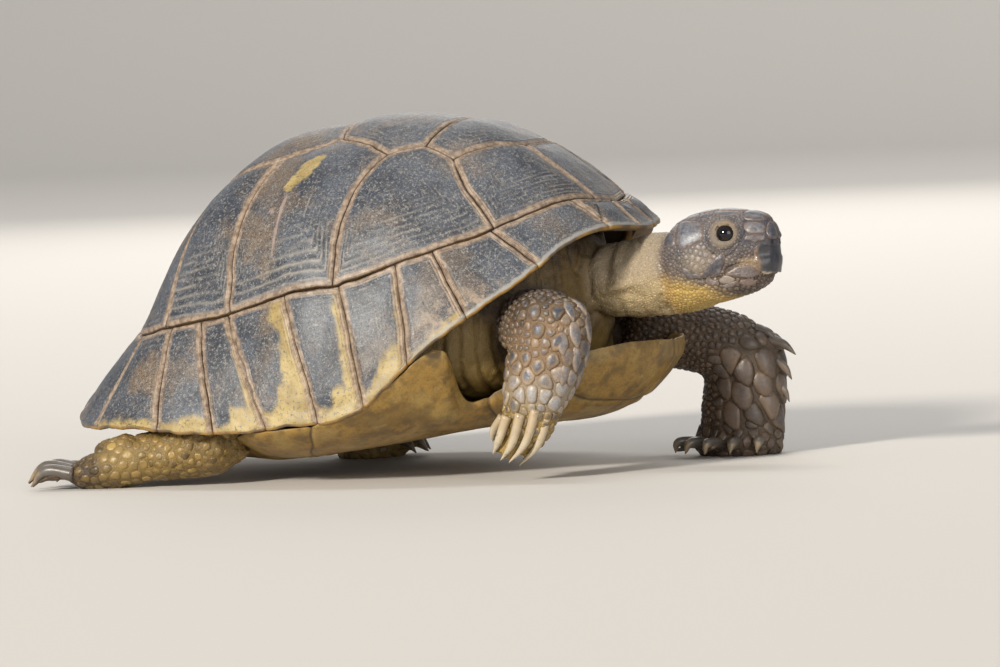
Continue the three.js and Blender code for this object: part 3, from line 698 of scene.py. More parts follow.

# %% [markdown]
# Old horn is nearly black, with a blue-grey bloom, brown dusty stains and fine pale flecks. The youngest
# horn beside the seams is tan, the crests of the growth rings are painted pale, a painted highlight of
# sunlight on them, and the rim has a pale edge.
# The order of the mixes is the order in which these lie on each other.
# %% Horn
def horn_finish():
    f = Finish("horn")
    seam, rim = f.attribute("seam"), f.attribute("rim")
    blotch = f.steps(f.noise(15 * MM, 5, 0.6), 0.38, 0.62)
    stain = f.steps(f.noise(26 * MM, 6, 0.65), 0.47, 0.62)
    fleck = f.noise(0.95 * MM, 4, 0.75)
    grit = f.noise(0.42 * MM, 2, 0.6)
    streak = f.noise(2.6 * MM, 5, 0.7)
    colour = f.mix(blotch, (0.026, 0.031, 0.043), (0.070, 0.080, 0.100))
    place = f.node("SeparateXYZ", Vector=f.place).outputs
    along, up = place["X"], place["Z"]
    aged = f.plus(f.times(f.steps(along, 10 * MM, -70 * MM), 0.4), 0.6)
    colour = f.mix(f.times(stain, aged), colour, (0.155, 0.108, 0.070))
    colour = f.mix(f.times(f.steps(streak, 0.5, 0.75), 0.6), colour, (0.22, 0.185, 0.15))
    colour = f.mix(f.times(f.steps(fleck, 0.5, 0.64), 0.75), colour, (0.27, 0.262, 0.245))
    colour = f.mix(f.times(f.steps(grit, 0.5, 0.62), 0.75), colour, (0.012, 0.012, 0.015))
    front = f.times(f.steps(along, 12 * MM, 30 * MM), f.steps(up, 68 * MM, 58 * MM))
    scuff = f.steps(f.noise(6 * MM, 6, 0.75), 0.44, 0.6)
    colour = f.mix(f.times(f.times(front, scuff), 0.75), colour, (0.33, 0.25, 0.175))
    # Painted highlight: the crests of the growth rings are lightened as if the sun caught them.
    sunlit_crest = f.math("POWER", f.attribute("ridge"), 1.5)
    colour = f.mix(f.times(sunlit_crest, 0.7), colour, (0.30, 0.27, 0.23))
    yellow = f.times(f.attribute("yellow"), f.steps(fleck, 0.3, 0.5))
    wax = f.mix(f.steps(f.noise(8 * MM, 3), 0.35, 0.65), (0.27, 0.19, 0.065), (0.40, 0.30, 0.12))
    colour = f.mix(yellow, colour, wax)
    colour = f.mix(f.times(f.attribute("pale"), 0.6), colour, (0.36, 0.27, 0.23))
    wander = f.times(f.noise(3.5 * MM, 3), 1.5)
    young = f.less(f.steps(f.plus(seam, wander), 1.8, 3.4))
    patches = f.steps(f.noise(2.2 * MM, 4, 0.65), 0.35, 0.65)
    tan = f.mix(patches, (0.16, 0.108, 0.07), (0.37, 0.275, 0.195))
    colour = f.mix(f.times(young, 0.88), colour, tan)
    gap = f.less(f.steps(seam, 0.05, 0.35))
    colour = f.mix(f.times(gap, 0.8), colour, (0.055, 0.035, 0.025))
    edge = f.less(f.steps(f.plus(rim, wander), 1.1, 2.2))
    edge = f.times(edge, f.steps(along, 14 * MM, 26 * MM))
    colour = f.mix(f.times(edge, 0.7), colour, (0.33, 0.32, 0.29))
    under = f.mix(f.steps(f.noise(9 * MM, 4), 0.4, 0.62), (0.30, 0.165, 0.035), (0.11, 0.075, 0.045))
    colour = f.mix(f.steps(f.attribute("under"), 0.15, 0.85), colour, under)
    colour = f.mix(f.attribute("crack"), colour, (0.012, 0.009, 0.008))
    rough = f.node("MapRange", Value=fleck, From_Min=0.3, From_Max=0.7, To_Min=0.36, To_Max=0.62)
    fine = f.bump(f.noise(0.5 * MM, 3, 0.6), 0.05 * MM, 0.5)
    normal = f.bump(streak, 0.12 * MM, 0.6, fine)
    return f.finish(Base_Color=colour, Roughness=rough.outputs["Result"], Normal=normal)


horn = horn_finish()
for piece in plate_pieces:
    piece.data.materials.append(horn)
    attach(piece, "root")
print("horn on", len(plate_pieces), "plates")

# %% [markdown]
# Under the plates lies the bony dome. It shows only as a dark line in the seams and inside the openings.
# A copy of the CAD bone is smoothed with a Subdivision Surface, and its outer face is brought up to the
# underside of the horn, so that no light passes between two plates.
# %% Bone
BONE_DEPTH = 2.15 * MM
BONE_INSIDE = 6.5 * MM
BONE_LIFT = 2.6 * MM  # its edge stays above the rim plates' lips


def copy_of(node, name):
    """A new piece with a CAD node's shape, its doubled points merged and its triangles paired."""
    bpy.ops.object.select_all(action="DESELECT")
    piece = bpy.data.objects.new(name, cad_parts[node].data.copy())
    bpy.context.collection.objects.link(piece)
    piece.data.materials.clear()
    bpy.context.view_layer.objects.active = piece
    piece.select_set(True)
    bpy.ops.object.mode_set(mode="EDIT")
    bpy.ops.mesh.select_all(action="SELECT")
    bpy.ops.mesh.remove_doubles(threshold=0.02 * MM)
    bpy.ops.mesh.tris_convert_to_quads(face_threshold=math.radians(60), shape_threshold=math.radians(60))
    bpy.ops.mesh.normals_make_consistent(inside=False)
    bpy.ops.object.mode_set(mode="OBJECT")
    return piece


def subdivided(piece, levels):
    """The piece with a Subdivision Surface applied."""
    bpy.context.view_layer.objects.active = piece
    modifier = piece.modifiers.new("smooth", "SUBSURF")
    modifier.levels = modifier.render_levels = levels
    bpy.ops.object.modifier_apply(modifier=modifier.name)
    bpy.ops.object.shade_smooth()
    return piece


def points_of(piece):
    values = np.empty(len(piece.data.vertices) * 3)
    piece.data.vertices.foreach_get("co", values)
    return values.reshape(-1, 3)


def normals_of(piece):
    values = np.empty(len(piece.data.vertices) * 3, np.float32)
    piece.data.vertex_normals.foreach_get("vector", values)
    return values.reshape(-1, 3).astype(float)


def move_points(piece, points):
    piece.data.vertices.foreach_set("co", points.astype(np.float32).ravel())
    piece.data.update()


bone = subdivided(copy_of("carapace_bone", "bone_dome"), 2)
places = points_of(bone) + SHELL_UP * BONE_LIFT
feet, ways = dome.project(places)
outside = ((normals_of(bone) * ways).sum(1) > 0)[:, None]
depth = ((feet - places) * ways).sum(1)[:, None]
move_points(bone, feet - ways * np.where(outside, BONE_DEPTH, np.maximum(depth, BONE_INSIDE)))
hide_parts("carapace_bone")
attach(bone, "root")
print("bone has", len(bone.data.polygons), "faces")

# %% [markdown]
# Bone would be pale, but what shows of it in the seams is stained dark by soil, so its colour is a dull
# brown with no gloss.
# %% Bone finish
def bone_finish():
    f = Finish("bone")
    colour = f.mix(f.noise(6 * MM, 4), (0.045, 0.030, 0.020), (0.10, 0.07, 0.045))
    return f.finish(Base_Color=colour, Roughness=0.8, Normal=f.bump(f.noise(2 * MM, 4), 0.3 * MM))


bone.data.materials.append(bone_finish())
print("bone finished")

# %% [markdown]
# ## The plastron
# The belly shell turns up at its sides into bridges that join the rim plates. A copy of the CAD plastron
# is smoothed, its bridges are drawn up to the rim plates so that no slit is left, and the seams between
# its horny plates are pressed in as grooves along lines that are set out on its plan.
# %% Shape the plastron
PLASTRON_SEAMS = {  # from the throat to the tail: where each crosses the middle, its sweep back at the side
    "gular": (70, -14),
    "humeral": (43, 5),
    "pectoral": (31, 2),
    "abdominal": (-33, 4),
    "femoral": (-61, -6),
}
GROOVE = 0.45 * MM
LOBE_DROP = 4.2 * MM  # how much lower the front lobe reaches than in the CAD


def rim_points():
    """Points along the rim of the plates that the bridges join, from the pieces made above."""
    for side in ("left", "right"):
        for number in range(4, 9):
            outline, sides = rounded_outline(sheets[f"marginal_{side}_{number}"][2])
            yield outline[rim_columns(f"marginal_{side}_{number}", outline, sides)]


def nearest(points, targets):
    """For each point, its nearest target and how far that is."""
    tree = search_tree(targets)
    found = [tree.find(point) for point in points]
    return targets[[item[1] for item in found]], np.array([item[2] for item in found])


def drawn_to_rim(points):
    """Brings the bridges' upper edges to the rim plates, and what is near along with them."""
    rim = np.concatenate(list(rim_points()))
    goal, off = nearest(points, rim)
    edge = points[off < 1.6 * MM]
    pull = (goal - points)[off < 1.6 * MM]
    foot, away = nearest(points, edge)
    order = {tuple(p): i for i, p in enumerate(edge)}
    shift = pull[[order[tuple(p)] for p in foot]]
    return points + shift * np.exp(-(away / (5 * MM)) ** 2)[:, None]


def seam_gaps(points):
    """Distance, in millimetres, from the nearest seam of the plastron's horny plates."""
    x, y = points[:, 0] / MM, points[:, 1] / MM
    x = x + 1.2 * cloud(points, 9 * MM, 61)
    gaps = [np.abs(y + 0.8 * cloud(points, 8 * MM, 62))]
    for middle, sweep in PLASTRON_SEAMS.values():
        gaps.append(np.abs(x - middle - sweep * (y / 35) ** 2) / math.hypot(1, sweep / 30))
    return np.min(gaps, axis=0)


plastron = subdivided(copy_of("plastron", "horn_plastron"), 4)
points = drawn_to_rim(points_of(plastron))
move_points(plastron, points)
lobe = steps(points[:, 0], 16 * MM, 62 * MM) * steps(-normals_of(plastron)[:, 2], -0.2, 0.6)
points[:, 2] -= LOBE_DROP * lobe
gaps = seam_gaps(points)
waves = 0.25 * cloud(points, 12 * MM, 63) + 0.12 * cloud(points, 4 * MM, 64)
waves = waves + 0.04 * cloud(points, 1.6 * MM, 65)
beside = 0.2 * MM * np.exp(-((gaps - 2.2) / 1.1) ** 2)
height = waves * MM - GROOVE * np.exp(-(gaps / 0.75) ** 2) + beside
move_points(plastron, points + normals_of(plastron) * height[:, None])
layer = plastron.data.attributes.new("seam", "FLOAT", "POINT")
layer.data.foreach_set("value", gaps.astype(np.float32))
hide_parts("plastron")
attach(plastron, "root")
print("plastron has", len(plastron.data.polygons), "faces")

# %% [markdown]
# The belly's horn is thinner and yellower than that above. Its amber is mottled, worn pale in patches and
# gritty, and the seams, whose distance was kept as a value, are painted as thin dark lines.
# %% Plastron finish
def plastron_finish():
    f = Finish("plastron")
    seam = f.attribute("seam")
    patch = f.steps(f.noise(24 * MM, 4, 0.6, distortion=0.6), 0.53, 0.62)
    mottle = f.steps(f.noise(5 * MM, 5, 0.65), 0.38, 0.66)
    colour = f.mix(mottle, (0.29, 0.168, 0.034), (0.135, 0.08, 0.02))
    colour = f.mix(f.times(f.steps(f.noise(13 * MM, 3), 0.45, 0.65), 0.6), colour, (0.36, 0.245, 0.075))
    colour = f.mix(f.times(patch, 0.55), colour, (0.115, 0.068, 0.02))
    grit = f.steps(f.noise(0.8 * MM, 3, 0.7), 0.52, 0.66)
    colour = f.mix(f.times(grit, 0.5), colour, (0.10, 0.07, 0.035))
    wear = f.times(f.steps(f.noise(3 * MM, 5, 0.7), 0.6, 0.72), 0.35)
    colour = f.mix(wear, colour, (0.45, 0.35, 0.17))
    line = f.less(f.steps(seam, 0.15, 0.7))
    colour = f.mix(f.times(line, 0.8), colour, (0.05, 0.03, 0.015))
    fine = f.bump(f.noise(0.6 * MM, 3), 0.05 * MM, 0.6)
    normal = f.bump(f.noise(3 * MM, 5, 0.6), 0.2 * MM, 0.6, fine)
    return f.finish(Base_Color=colour, Roughness=0.5, Normal=normal)


plastron.data.materials.append(plastron_finish())
print("plastron finished")

# %% [markdown]
# ## The skin
# One skin covers the flesh without a seam. Copies of the flesh nodes are smoothed, swollen a little so
# that they run into each other, joined, and remeshed into one even surface. The eyes and the beak are
# filled in too, and their sockets are pressed in later, where the mesh is finer. The remesh drops all
# that is inside. A few smoothing passes then blend the joints between leg and foot, neck and head.
# %% Join the flesh
LEG_ENDS = ("front_right", "front_left", "hind_right", "hind_left")
FLESH = ["trunk", "neck", "head", "jaw", "tail"]
FLESH += [part + end for end in LEG_ENDS for part in ("leg_", "foot_")]
FILLED = ["beak", "eye_right", "eye_left"]
SWELL = {  # millimetres
    "trunk": 0.5, "neck": 0.6, "head": 0.35, "jaw": 0.35, "beak": 0.35, "eye_right": -0.5, "eye_left": -0.5,
}
LIMB_SWELL = 0.55
VOXEL = 1.08 * MM
BLEND_PASSES = 7


def joined(pieces, name):
    bpy.ops.object.select_all(action="DESELECT")
    for piece in pieces:
        piece.select_set(True)
    bpy.context.view_layer.objects.active = pieces[0]
    bpy.ops.object.join()
    pieces[0].name = pieces[0].data.name = name
    return pieces[0]


def applied(piece, kind, **settings):
    """The piece with one modifier applied."""
    bpy.context.view_layer.objects.active = piece
    modifier = piece.modifiers.new(kind.lower(), kind)
    for key, value in settings.items():
        setattr(modifier, key, value)
    bpy.ops.object.modifier_apply(modifier=modifier.name)
    return piece


def flesh_part(node):
    part = subdivided(copy_of(node, "flesh_" + node), 1 if node == "trunk" else 2)
    move_points(part, points_of(part) + normals_of(part) * SWELL.get(node, LIMB_SWELL) * MM)
    return part


skin = joined([flesh_part(node) for node in FLESH + FILLED], "skin")
applied(skin, "REMESH", mode="VOXEL", voxel_size=VOXEL)
applied(skin, "SMOOTH", factor=0.5, iterations=BLEND_PASSES)
print("skin has", len(skin.data.polygons), "faces")

# %% [markdown]
# Each point of the skin is told which CAD node it belongs to, by the nearest CAD face. Places on the
# head are given in its own frame, whose axes come from the middles of the two eyes.
# %% Owners and the head's frame
eye_middles = {side: np.mean([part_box("eye_" + side)], axis=1)[0] for side in ("left", "right")}
HEAD_SIDE = unit(eye_middles["left"] - eye_middles["right"])
HEAD_UP = np.array([0, 0, 1.0])
HEAD_FORWARD = np.cross(HEAD_SIDE, HEAD_UP)
EYE = np.array([4.2, 8.3, 8.0])  # forward, aside and up of the head's own origin, in millimetres
EYE_RADIUS = 3.6
HEAD_AXES = np.array([HEAD_FORWARD, HEAD_SIDE, HEAD_UP])
HEAD_ORIGIN = (eye_middles["left"] + eye_middles["right"]) / 2 - EYE * (1, 0, 1) @ HEAD_AXES * MM


def in_head(points):
    """Places in the head's own frame, in millimetres."""
    return (points - HEAD_ORIGIN) @ HEAD_AXES.T / MM


def from_head(places):
    return HEAD_ORIGIN + np.asarray(places, float) @ HEAD_AXES * MM


def flesh_tree():
    """A search tree over the CAD flesh, and the node of each of its faces."""
    corners, faces, owner = [], [], []
    for node in FLESH + FILLED:
        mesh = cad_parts[node].data
        first = len(corners)
        corners += [vertex.co.copy() for vertex in mesh.vertices]
        faces += [[first + i for i in face.vertices] for face in mesh.polygons]
        owner += [node] * len(mesh.polygons)
    return BVHTree.FromPolygons(corners, faces), owner


flesh, flesh_owner = flesh_tree()


def owners(points):
    return np.array([flesh_owner[flesh.find_nearest(point)[2]] for point in points])


def triangles(piece):
    return sum(len(face.vertices) - 2 for face in piece.data.polygons)


def select_faces(piece, chosen):
    bpy.ops.object.select_all(action="DESELECT")
    piece.select_set(True)
    bpy.context.view_layer.objects.active = piece
    bpy.ops.object.mode_set(mode="EDIT")
    bpy.ops.mesh.select_mode(type="FACE")
    bpy.ops.mesh.select_all(action="DESELECT")
    bpy.ops.object.mode_set(mode="OBJECT")
    piece.data.polygons.foreach_set("select", np.asarray(chosen, bool))
    bpy.ops.object.mode_set(mode="EDIT")


def face_middles(piece):
    values = np.empty(len(piece.data.polygons) * 3)
    piece.data.polygons.foreach_get("center", values)
    return values.reshape(-1, 3)


print("the head's frame looks along", HEAD_FORWARD.round(3))

# %% [markdown]
# The trunk deep inside the shell is never seen, so it is thinned with Decimate. The head is subdivided
# once, and the skin round the eyes and the mouth once more, for the lids and folds.
# %% Thin and refine the skin
def hidden_trunk(points):
    """Which points are trunk skin that the shell hides from every side."""
    x, y, z = points.T / MM
    side_hole = (np.abs(y) > 22) & (z < 62)
    seen = (x > 34) | (side_hole & (x > 14)) | ((x < -30) & (z < 52))
    return (owners(points) == "trunk") & ~seen


HIDDEN_SHARE = 0.06  # of the hidden faces, how many are kept
select_faces(skin, hidden_trunk(face_middles(skin)))
bpy.ops.mesh.decimate(ratio=HIDDEN_SHARE)
bpy.ops.object.mode_set(mode="OBJECT")


def head_part(points):
    """Which points are on the head, and which are in its finest parts."""
    x, y, z = in_head(points).T
    aside = np.abs(y)
    whole = (x > -20) & (x < 25) & (aside < 20) & (np.abs(z) < 22)
    eye = np.sqrt((x - EYE[0]) ** 2 + (aside - EYE[1]) ** 2 + (z - EYE[2]) ** 2) < 9.5
    mouth = (np.abs(z + 4.5) < 4.5) & (x > -8)
    return whole, whole & (eye | mouth | (x > 14))


for part in (0, 1):
    select_faces(skin, head_part(face_middles(skin))[part])
    bpy.ops.mesh.subdivide(number_cuts=1)
    bpy.ops.object.mode_set(mode="OBJECT")
bpy.ops.object.shade_smooth()
print("skin has", triangles(skin), "triangles")

# %% [markdown]
# Sculpting is done with strokes. A stroke is a path on the skin, with a width and a height: a positive
# one raises a ridge, a negative one presses in a crease. Paths on the head are given in its own frame on
# the right side and mirrored. Each is laid on the skin first, so its points need not be exact.
# %% Sculpting strokes
def skin_tree(piece):
    return BVHTree.FromPolygons([v.co.copy() for v in piece.data.vertices],
                                [list(f.vertices) for f in piece.data.polygons])


def laid(path, tree):
    """The path with its points moved to the skin and a smooth curve put through them."""
    points = np.array([tree.find_nearest(point)[0][:] for point in path])
    if len(points) < 3:
        return points
    padded = np.concatenate([[2 * points[0] - points[1]], points, [2 * points[-1] - points[-2]]])
    curve = []
    for a, b, c, d in zip(padded, padded[1:], padded[2:], padded[3:]):
        for t in (0, 0.25, 0.5, 0.75):
            curve.append((2 * b + (c - a) * t + (2 * a - 5 * b + 4 * c - d) * t * t
                          + (3 * b - a - 3 * c + d) * t ** 3) / 2)
    return np.array([*curve, points[-1]])


def path_distance(points, path):
    """Distance from each point to a path, and how far along the path that is, from 0 to 1."""
    best = np.full(len(points), np.inf)
    along = np.zeros(len(points))
    for i, (a, b) in enumerate(zip(path, path[1:])):
        way = b - a
        share = np.clip((points - a) @ way / max(way @ way, 1e-12), 0, 1)
        off = np.linalg.norm(points - a - share[:, None] * way, axis=1)
        nearer = off < best
        best[nearer] = off[nearer]
        along[nearer] = ((i + share) / (len(path) - 1))[nearer]
    return best, along


def stroked(points, normals, tree, strokes):
    """The points after all strokes: each is a path, half its width and its height in millimetres."""
    height = np.zeros(len(points))
    for path, width, rise in strokes:
        path = laid(path, tree)
        box_low, box_high = path.min(0) - 4 * width * MM, path.max(0) + 4 * width * MM
        near = np.all((points > box_low) & (points < box_high), axis=1)
        off, along = path_distance(points[near], path)
        taper = steps(along, 0, 0.12) * (1 - steps(along, 0.88, 1)) * 0.8 + 0.2
        height[near] += rise * taper * np.exp(-(off / (width * MM)) ** 2)
    return points + normals * height[:, None] * MM


print("stroke helpers ready")

# %% [markdown]
# The strokes of the head are the line of the mouth, the folds and the brow round the eye, the seams of
# the snout, the creases of the cheek and jaw, and the nostrils.
# %% Strokes of the head
def both_sides(strokes):
    """Head strokes for the right side, from head places given as forward, aside and up, and mirrored."""
    for path, width, rise in strokes:
        for side in (-1, 1):
            yield from_head([(x, side * y, z) for x, y, z in path]), width, rise


def arc_round_eye(radius, start, end, count=9):
    """Places round the eye, at angles from straight ahead over the top, all on the cheek's side."""
    turns = np.radians(np.linspace(start, end, count))
    ring = [(radius * math.cos(turn), radius * math.sin(turn)) for turn in turns]
    return [(EYE[0] + ahead, 13 - 0.25 * abs(up), EYE[2] + up) for ahead, up in ring]


MOUTH = [(18.2, 3, -4.4), (15.5, 5.6, -4.2), (14.3, 7.2, -2.0), (9.5, 9.7, -1.5), (4.9, 11.1, -3.3),
         (2.0, 11.9, -5.6), (-2.5, 13, -7.2), (-7.5, 14, -6.6)]
HEAD_STROKES = [
    (MOUTH, 0.42, -0.75),
    ([(x, y, z - 1.1) for x, y, z in MOUTH[:5]], 0.7, 0.25),
    (arc_round_eye(5.35, -165, 15), 0.38, -0.4),
    (arc_round_eye(7.2, -150, -20), 0.4, -0.3),
    (arc_round_eye(6.3, -160, -10), 0.45, 0.22),
    (arc_round_eye(5.2, 160, 215), 0.4, -0.4),
    (arc_round_eye(7.0, 20, 165), 1.5, 0.75),
    ([(10.0, 5.5, 13.4), (11.3, 7.4, 11), (10.8, 8.8, 7.5), (9.0, 10, 4.2)], 0.4, -0.45),
    ([(10.8, 8.8, 5.4), (14, 7.6, 5.2), (17.2, 4.6, 5.0)], 0.35, -0.3),
    ([(10.5, 9.4, 3.4), (12, 8.9, 3.0), (13.6, 8.2, 2.8)], 0.35, -0.22),
    ([(1.5, 12.2, 2.4), (4.5, 11.5, 0.8), (7.6, 10.6, -0.4)], 0.35, -0.3),
    ([(-0.4, 12.6, 3.6), (1.2, 12.4, 1.4), (0.4, 12.5, -0.8)], 0.35, -0.35),
    ([(-19, 12.5, -9), (-12, 14.5, -10.5), (-5, 13, -10.8), (3, 10, -11.4)], 0.5, -0.35),
    ([(17.7, 2.9, 5.1), (18.4, 2.0, 4.8)], 0.6, -1.7),
    ([(15.2, 4.6, 7.2), (17.3, 2.9, 6.6), (18.3, 1.4, 6.6)], 0.9, 0.35),
    ([(17.6, 0, -6.8), (16.6, 3.4, -6.8), (14.8, 6, -6.8), (12.5, 7.4, -6.9)], 1.5, -0.6),
]
print(len(HEAD_STROKES), "strokes for each side of the head")

# %% [markdown]
# The eye is a real ball, so the lids have to fit it. Skin points near it are set by their distance from
# the ball's axis: pressed in behind the opening, standing just over the ball at the lids' edge, and
# sloping back to the cheek. Points close to the edge are first moved onto it, so that it is even. The
# opening is a little wider than it is high.
# %% Lids
LID_OPENING = 2.72  # all in millimetres
LID_REACH = 5.6
LID_HEIGHT = 0.42  # over the ball
LID_SNAP = 0.5
SOCKET_DEPTH = 1.0
EYE_AXIS = unit(np.array([0.22, 1.0, 0.12]))


def with_lids(points):
    """The points with the eye sockets and lids pressed in."""
    places = in_head(points)
    for side in (-1, 1):
        mirror = np.array([1, side, 1])
        axis = EYE_AXIS * mirror
        away = places - EYE * mirror
        out = away @ axis
        flat = away - out[:, None] * axis
        reach = np.linalg.norm(flat, axis=1)
        near = (reach < LID_REACH) & (out > 0)
        reach, flat, out = reach[near], flat[near], out[near]
        opening = LID_OPENING + 0.3 * np.abs(flat[:, 0]) / np.maximum(reach, 0.01)
        on_edge = np.where(np.abs(reach - opening) < LID_SNAP, opening / np.maximum(reach, 0.01), 1)
        places[near] += flat * (on_edge - 1)[:, None]
        reach = reach * on_edge
        ball = np.sqrt(np.maximum(EYE_RADIUS ** 2 - np.minimum(reach, opening) ** 2, 0))
        lid = ball + LID_HEIGHT * steps(reach - opening, -0.1, 0.45)
        lid = lid - 0.2 * np.maximum(reach - opening - 0.6, 0)
        goal = np.where(reach < opening - 0.12, ball - SOCKET_DEPTH, lid)
        blend = 1 - steps(reach, 4.1, LID_REACH)
        places[near] += ((goal - out) * blend)[:, None] * axis
    return from_head(places)


print("lids ready")

# %% [markdown]
# The rest of the skin is folded and wrinkled. On the neck the wrinkles run round it, in the pocket
# behind the foreleg they run up and down, and on the hind legs they are soft and wide. They are random
# creases, stretched the way they run. The larger folds are strokes.
# %% Folds and wrinkles
BODY_STROKES = [  # millimetres in the animal's frame
    ([(60, -14, 57), (67, -13, 59.5), (73, -13.5, 60.5), (80, -13.5, 61.5)], 1.3, 0.9),
    ([(60, -14, 54.5), (67, -13, 56.5), (74, -13, 57.5)], 1.0, -0.9),
    ([(66, -6, 73), (65.5, -12, 68), (66, -13.5, 62)], 1.4, -0.8),
    ([(68.5, -6, 74), (68.5, -12, 69), (69, -13.8, 63)], 1.3, 0.7),
    ([(60, 14, 57), (67, 14, 59.5), (74, 14.5, 60.5), (80, 14, 61.5)], 1.3, 0.8),
    ([(40, -50, 40), (41, -47, 30), (45, -42, 22)], 1.2, 0.9),
    ([(44, -50, 44), (44, -46, 32), (48, -40, 24)], 1.0, -0.9),
    ([(36, -52, 42), (36, -50, 32), (39, -45, 22)], 1.0, -0.9),
    ([(-55, -60, 21), (-62, -64, 14), (-60, -62, 6)], 1.2, -0.9),
    ([(-66, -60, 20), (-70, -65, 13), (-69, -63, 5)], 1.1, -0.8),
    ([(-60, -60, 22), (-66, -65, 14), (-64, -63, 6)], 1.5, 0.7),
    ([(-48, -56, 22), (-53, -62, 16), (-52, -60, 9)], 1.5, 0.6),
    ([(-74, -58, 19), (-79, -65, 11), (-77, -62, 4)], 1.0, -0.7),
    ([(-86, -58, 17), (-92, -60, 14), (-98, -60, 10)], 6.5, 3.2),
]
PARTS = ("neck", "trunk", "tail", "jaw", "head", "leg_front_right", "foot_front_right", "leg_front_left",
         "foot_front_left", "leg_hind", "foot_hind")
NOSE_PASSES = 60
SOLE_TOP = 0.9 * MM  # what lies lower is flattened to a sole
SCALE_DEPTH = {"leg_": 0.75, "foot_": 0.6, "head": 0.3, "jaw": 0.3, "tail": 0.5, "neck": 0.35}


def creases(points, size, seed):
    """Narrow creases along the zero lines of a soft random value, from 0 to 1."""
    return np.exp(-(cloud(points, size, seed) / 0.13) ** 2)


def parts_of(owner):
    """For each part of the body, which points lie on it."""
    return {part: np.char.startswith(owner, part) for part in PARTS}


def wrinkles(points, owner):
    """The height of the wrinkles and the wide folds between them, in millimetres."""
    height = np.zeros(len(points))
    ring = points * np.array([1, 0.22, 0.22])
    upright = points * np.array([1, 0.6, 0.2])
    on = parts_of(owner)
    height -= on["neck"] * (0.6 * creases(ring, 2.3 * MM, 71) + 0.3 * creases(points, 1.6 * MM, 72)
                            - 0.6 * cloud(ring, 5 * MM, 73))
    height -= on["trunk"] * (1.7 * creases(upright, 4.2 * MM, 74) + 0.4 * creases(points, 2.6 * MM, 75)
                             - 1.3 * cloud(upright, 6 * MM, 76))
    soft = on["leg_hind"] | on["tail"]
    height -= soft * (0.35 * creases(points, 4.2 * MM, 77) + 0.3 * creases(points, 1.8 * MM, 78)
                      - 0.5 * cloud(points, 8 * MM, 79))
    height -= (on["jaw"] | on["foot_hind"]) * 0.15 * creases(points, 1.5 * MM, 80)
    return height


print("wrinkles ready")

# %% [markdown]
# One function then works on the skin in a fixed order. It smooths the snout, lays the strokes, draws the
# skin in under the scales, wrinkles it, sets the lids, and flattens the soles.
# %% Sculpt the skin
def softened(piece, values, passes):
    """Values on a mesh, evened out along its edges so that no part ends in a line."""
    ends = np.zeros(2 * len(piece.data.edges), int)
    piece.data.edges.foreach_get("vertices", ends)
    a, b = ends.reshape(-1, 2).T
    count = np.bincount(a, minlength=len(values)) + np.bincount(b, minlength=len(values))
    for _ in range(passes):
        total = np.bincount(a, values[b], len(values)) + np.bincount(b, values[a], len(values))
        values = 0.5 * values + 0.5 * total / np.maximum(count, 1)
    return values


def nose_evened(piece, points):
    """The front of the snout smoothed, where the beak will lie."""
    hx, _, hz = in_head(points).T
    share = steps(hx, 12.5, 14.5) * steps(hz, -6, -5.2) * (1 - steps(hz, 4.2, 5.2))
    even = np.stack([softened(piece, points[:, axis], NOSE_PASSES) for axis in range(3)], axis=1)
    return points + (even - points) * share[:, None]


def sculpt(piece):
    points = points_of(piece)
    owner = owners(points)
    points = nose_evened(piece, points)
    move_points(piece, points)
    tree = skin_tree(piece)
    body_strokes = [(np.array(path) * MM, width, rise) for path, width, rise in BODY_STROKES]
    points = stroked(points, normals_of(piece), tree, body_strokes)
    points = stroked(points, normals_of(piece), tree, both_sides(HEAD_STROKES))
    depth = np.zeros(len(points))
    for part, value in SCALE_DEPTH.items():
        depth[np.char.startswith(owner, part)] = value
    hx, _, hz = in_head(points).T
    depth += 0.35 * steps(hx, 14.2, 15) * steps(hz, -5.4, -5) * (1 - steps(hz, 3.6, 4.2))
    points += normals_of(piece) * ((wrinkles(points, owner) - depth) * MM)[:, None]
    points = with_lids(points)
    low = points[:, 2] < SOLE_TOP
    points[low, 2] = np.maximum(points[low, 2] * 0.3, 0.05 * MM)
    move_points(piece, points)
    return owner


skin_owner = sculpt(skin)
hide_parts(*FLESH)
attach(skin, "root")
print("sculpted", len(skin_owner), "points")

# %% [markdown]
# The skin is unwrapped by its own shape, in flat islands, so that markings can be baked for it. The
# scales use the same unwrap: each keeps a small patch of it at the place where it grows.
# %% Unwrapping the skin
UNWRAP_TURN = math.radians(62)
select_faces(skin, np.ones(len(skin.data.polygons), bool))
bpy.ops.object.mode_set(mode="EDIT")
bpy.ops.uv.smart_project(angle_limit=UNWRAP_TURN, island_margin=0.002)
bpy.ops.object.mode_set(mode="OBJECT")
skin.data.uv_layers[0].name = "OFBake"
skin_uv = np.zeros(2 * len(skin.data.loops))
skin.data.uv_layers["OFBake"].data.foreach_get("uv", skin_uv)
loop_start = np.zeros(len(skin.data.polygons), int)
skin.data.polygons.foreach_get("loop_start", loop_start)
face_uv = skin_uv.reshape(-1, 2)[loop_start]
first_corner = np.array([face.vertices[0] for face in skin.data.polygons])
tree = skin_tree(skin)
print("unwrapped", len(face_uv), "faces")

# %% [markdown]
# Where each colour goes is worked out once, from the place and the part of the body. The skin and the
# scales on it both ask for it here, so their markings are the same.
# %% Markings of the skin and scales
MARKS = ("yellow", "red", "dark", "blue", "pale")


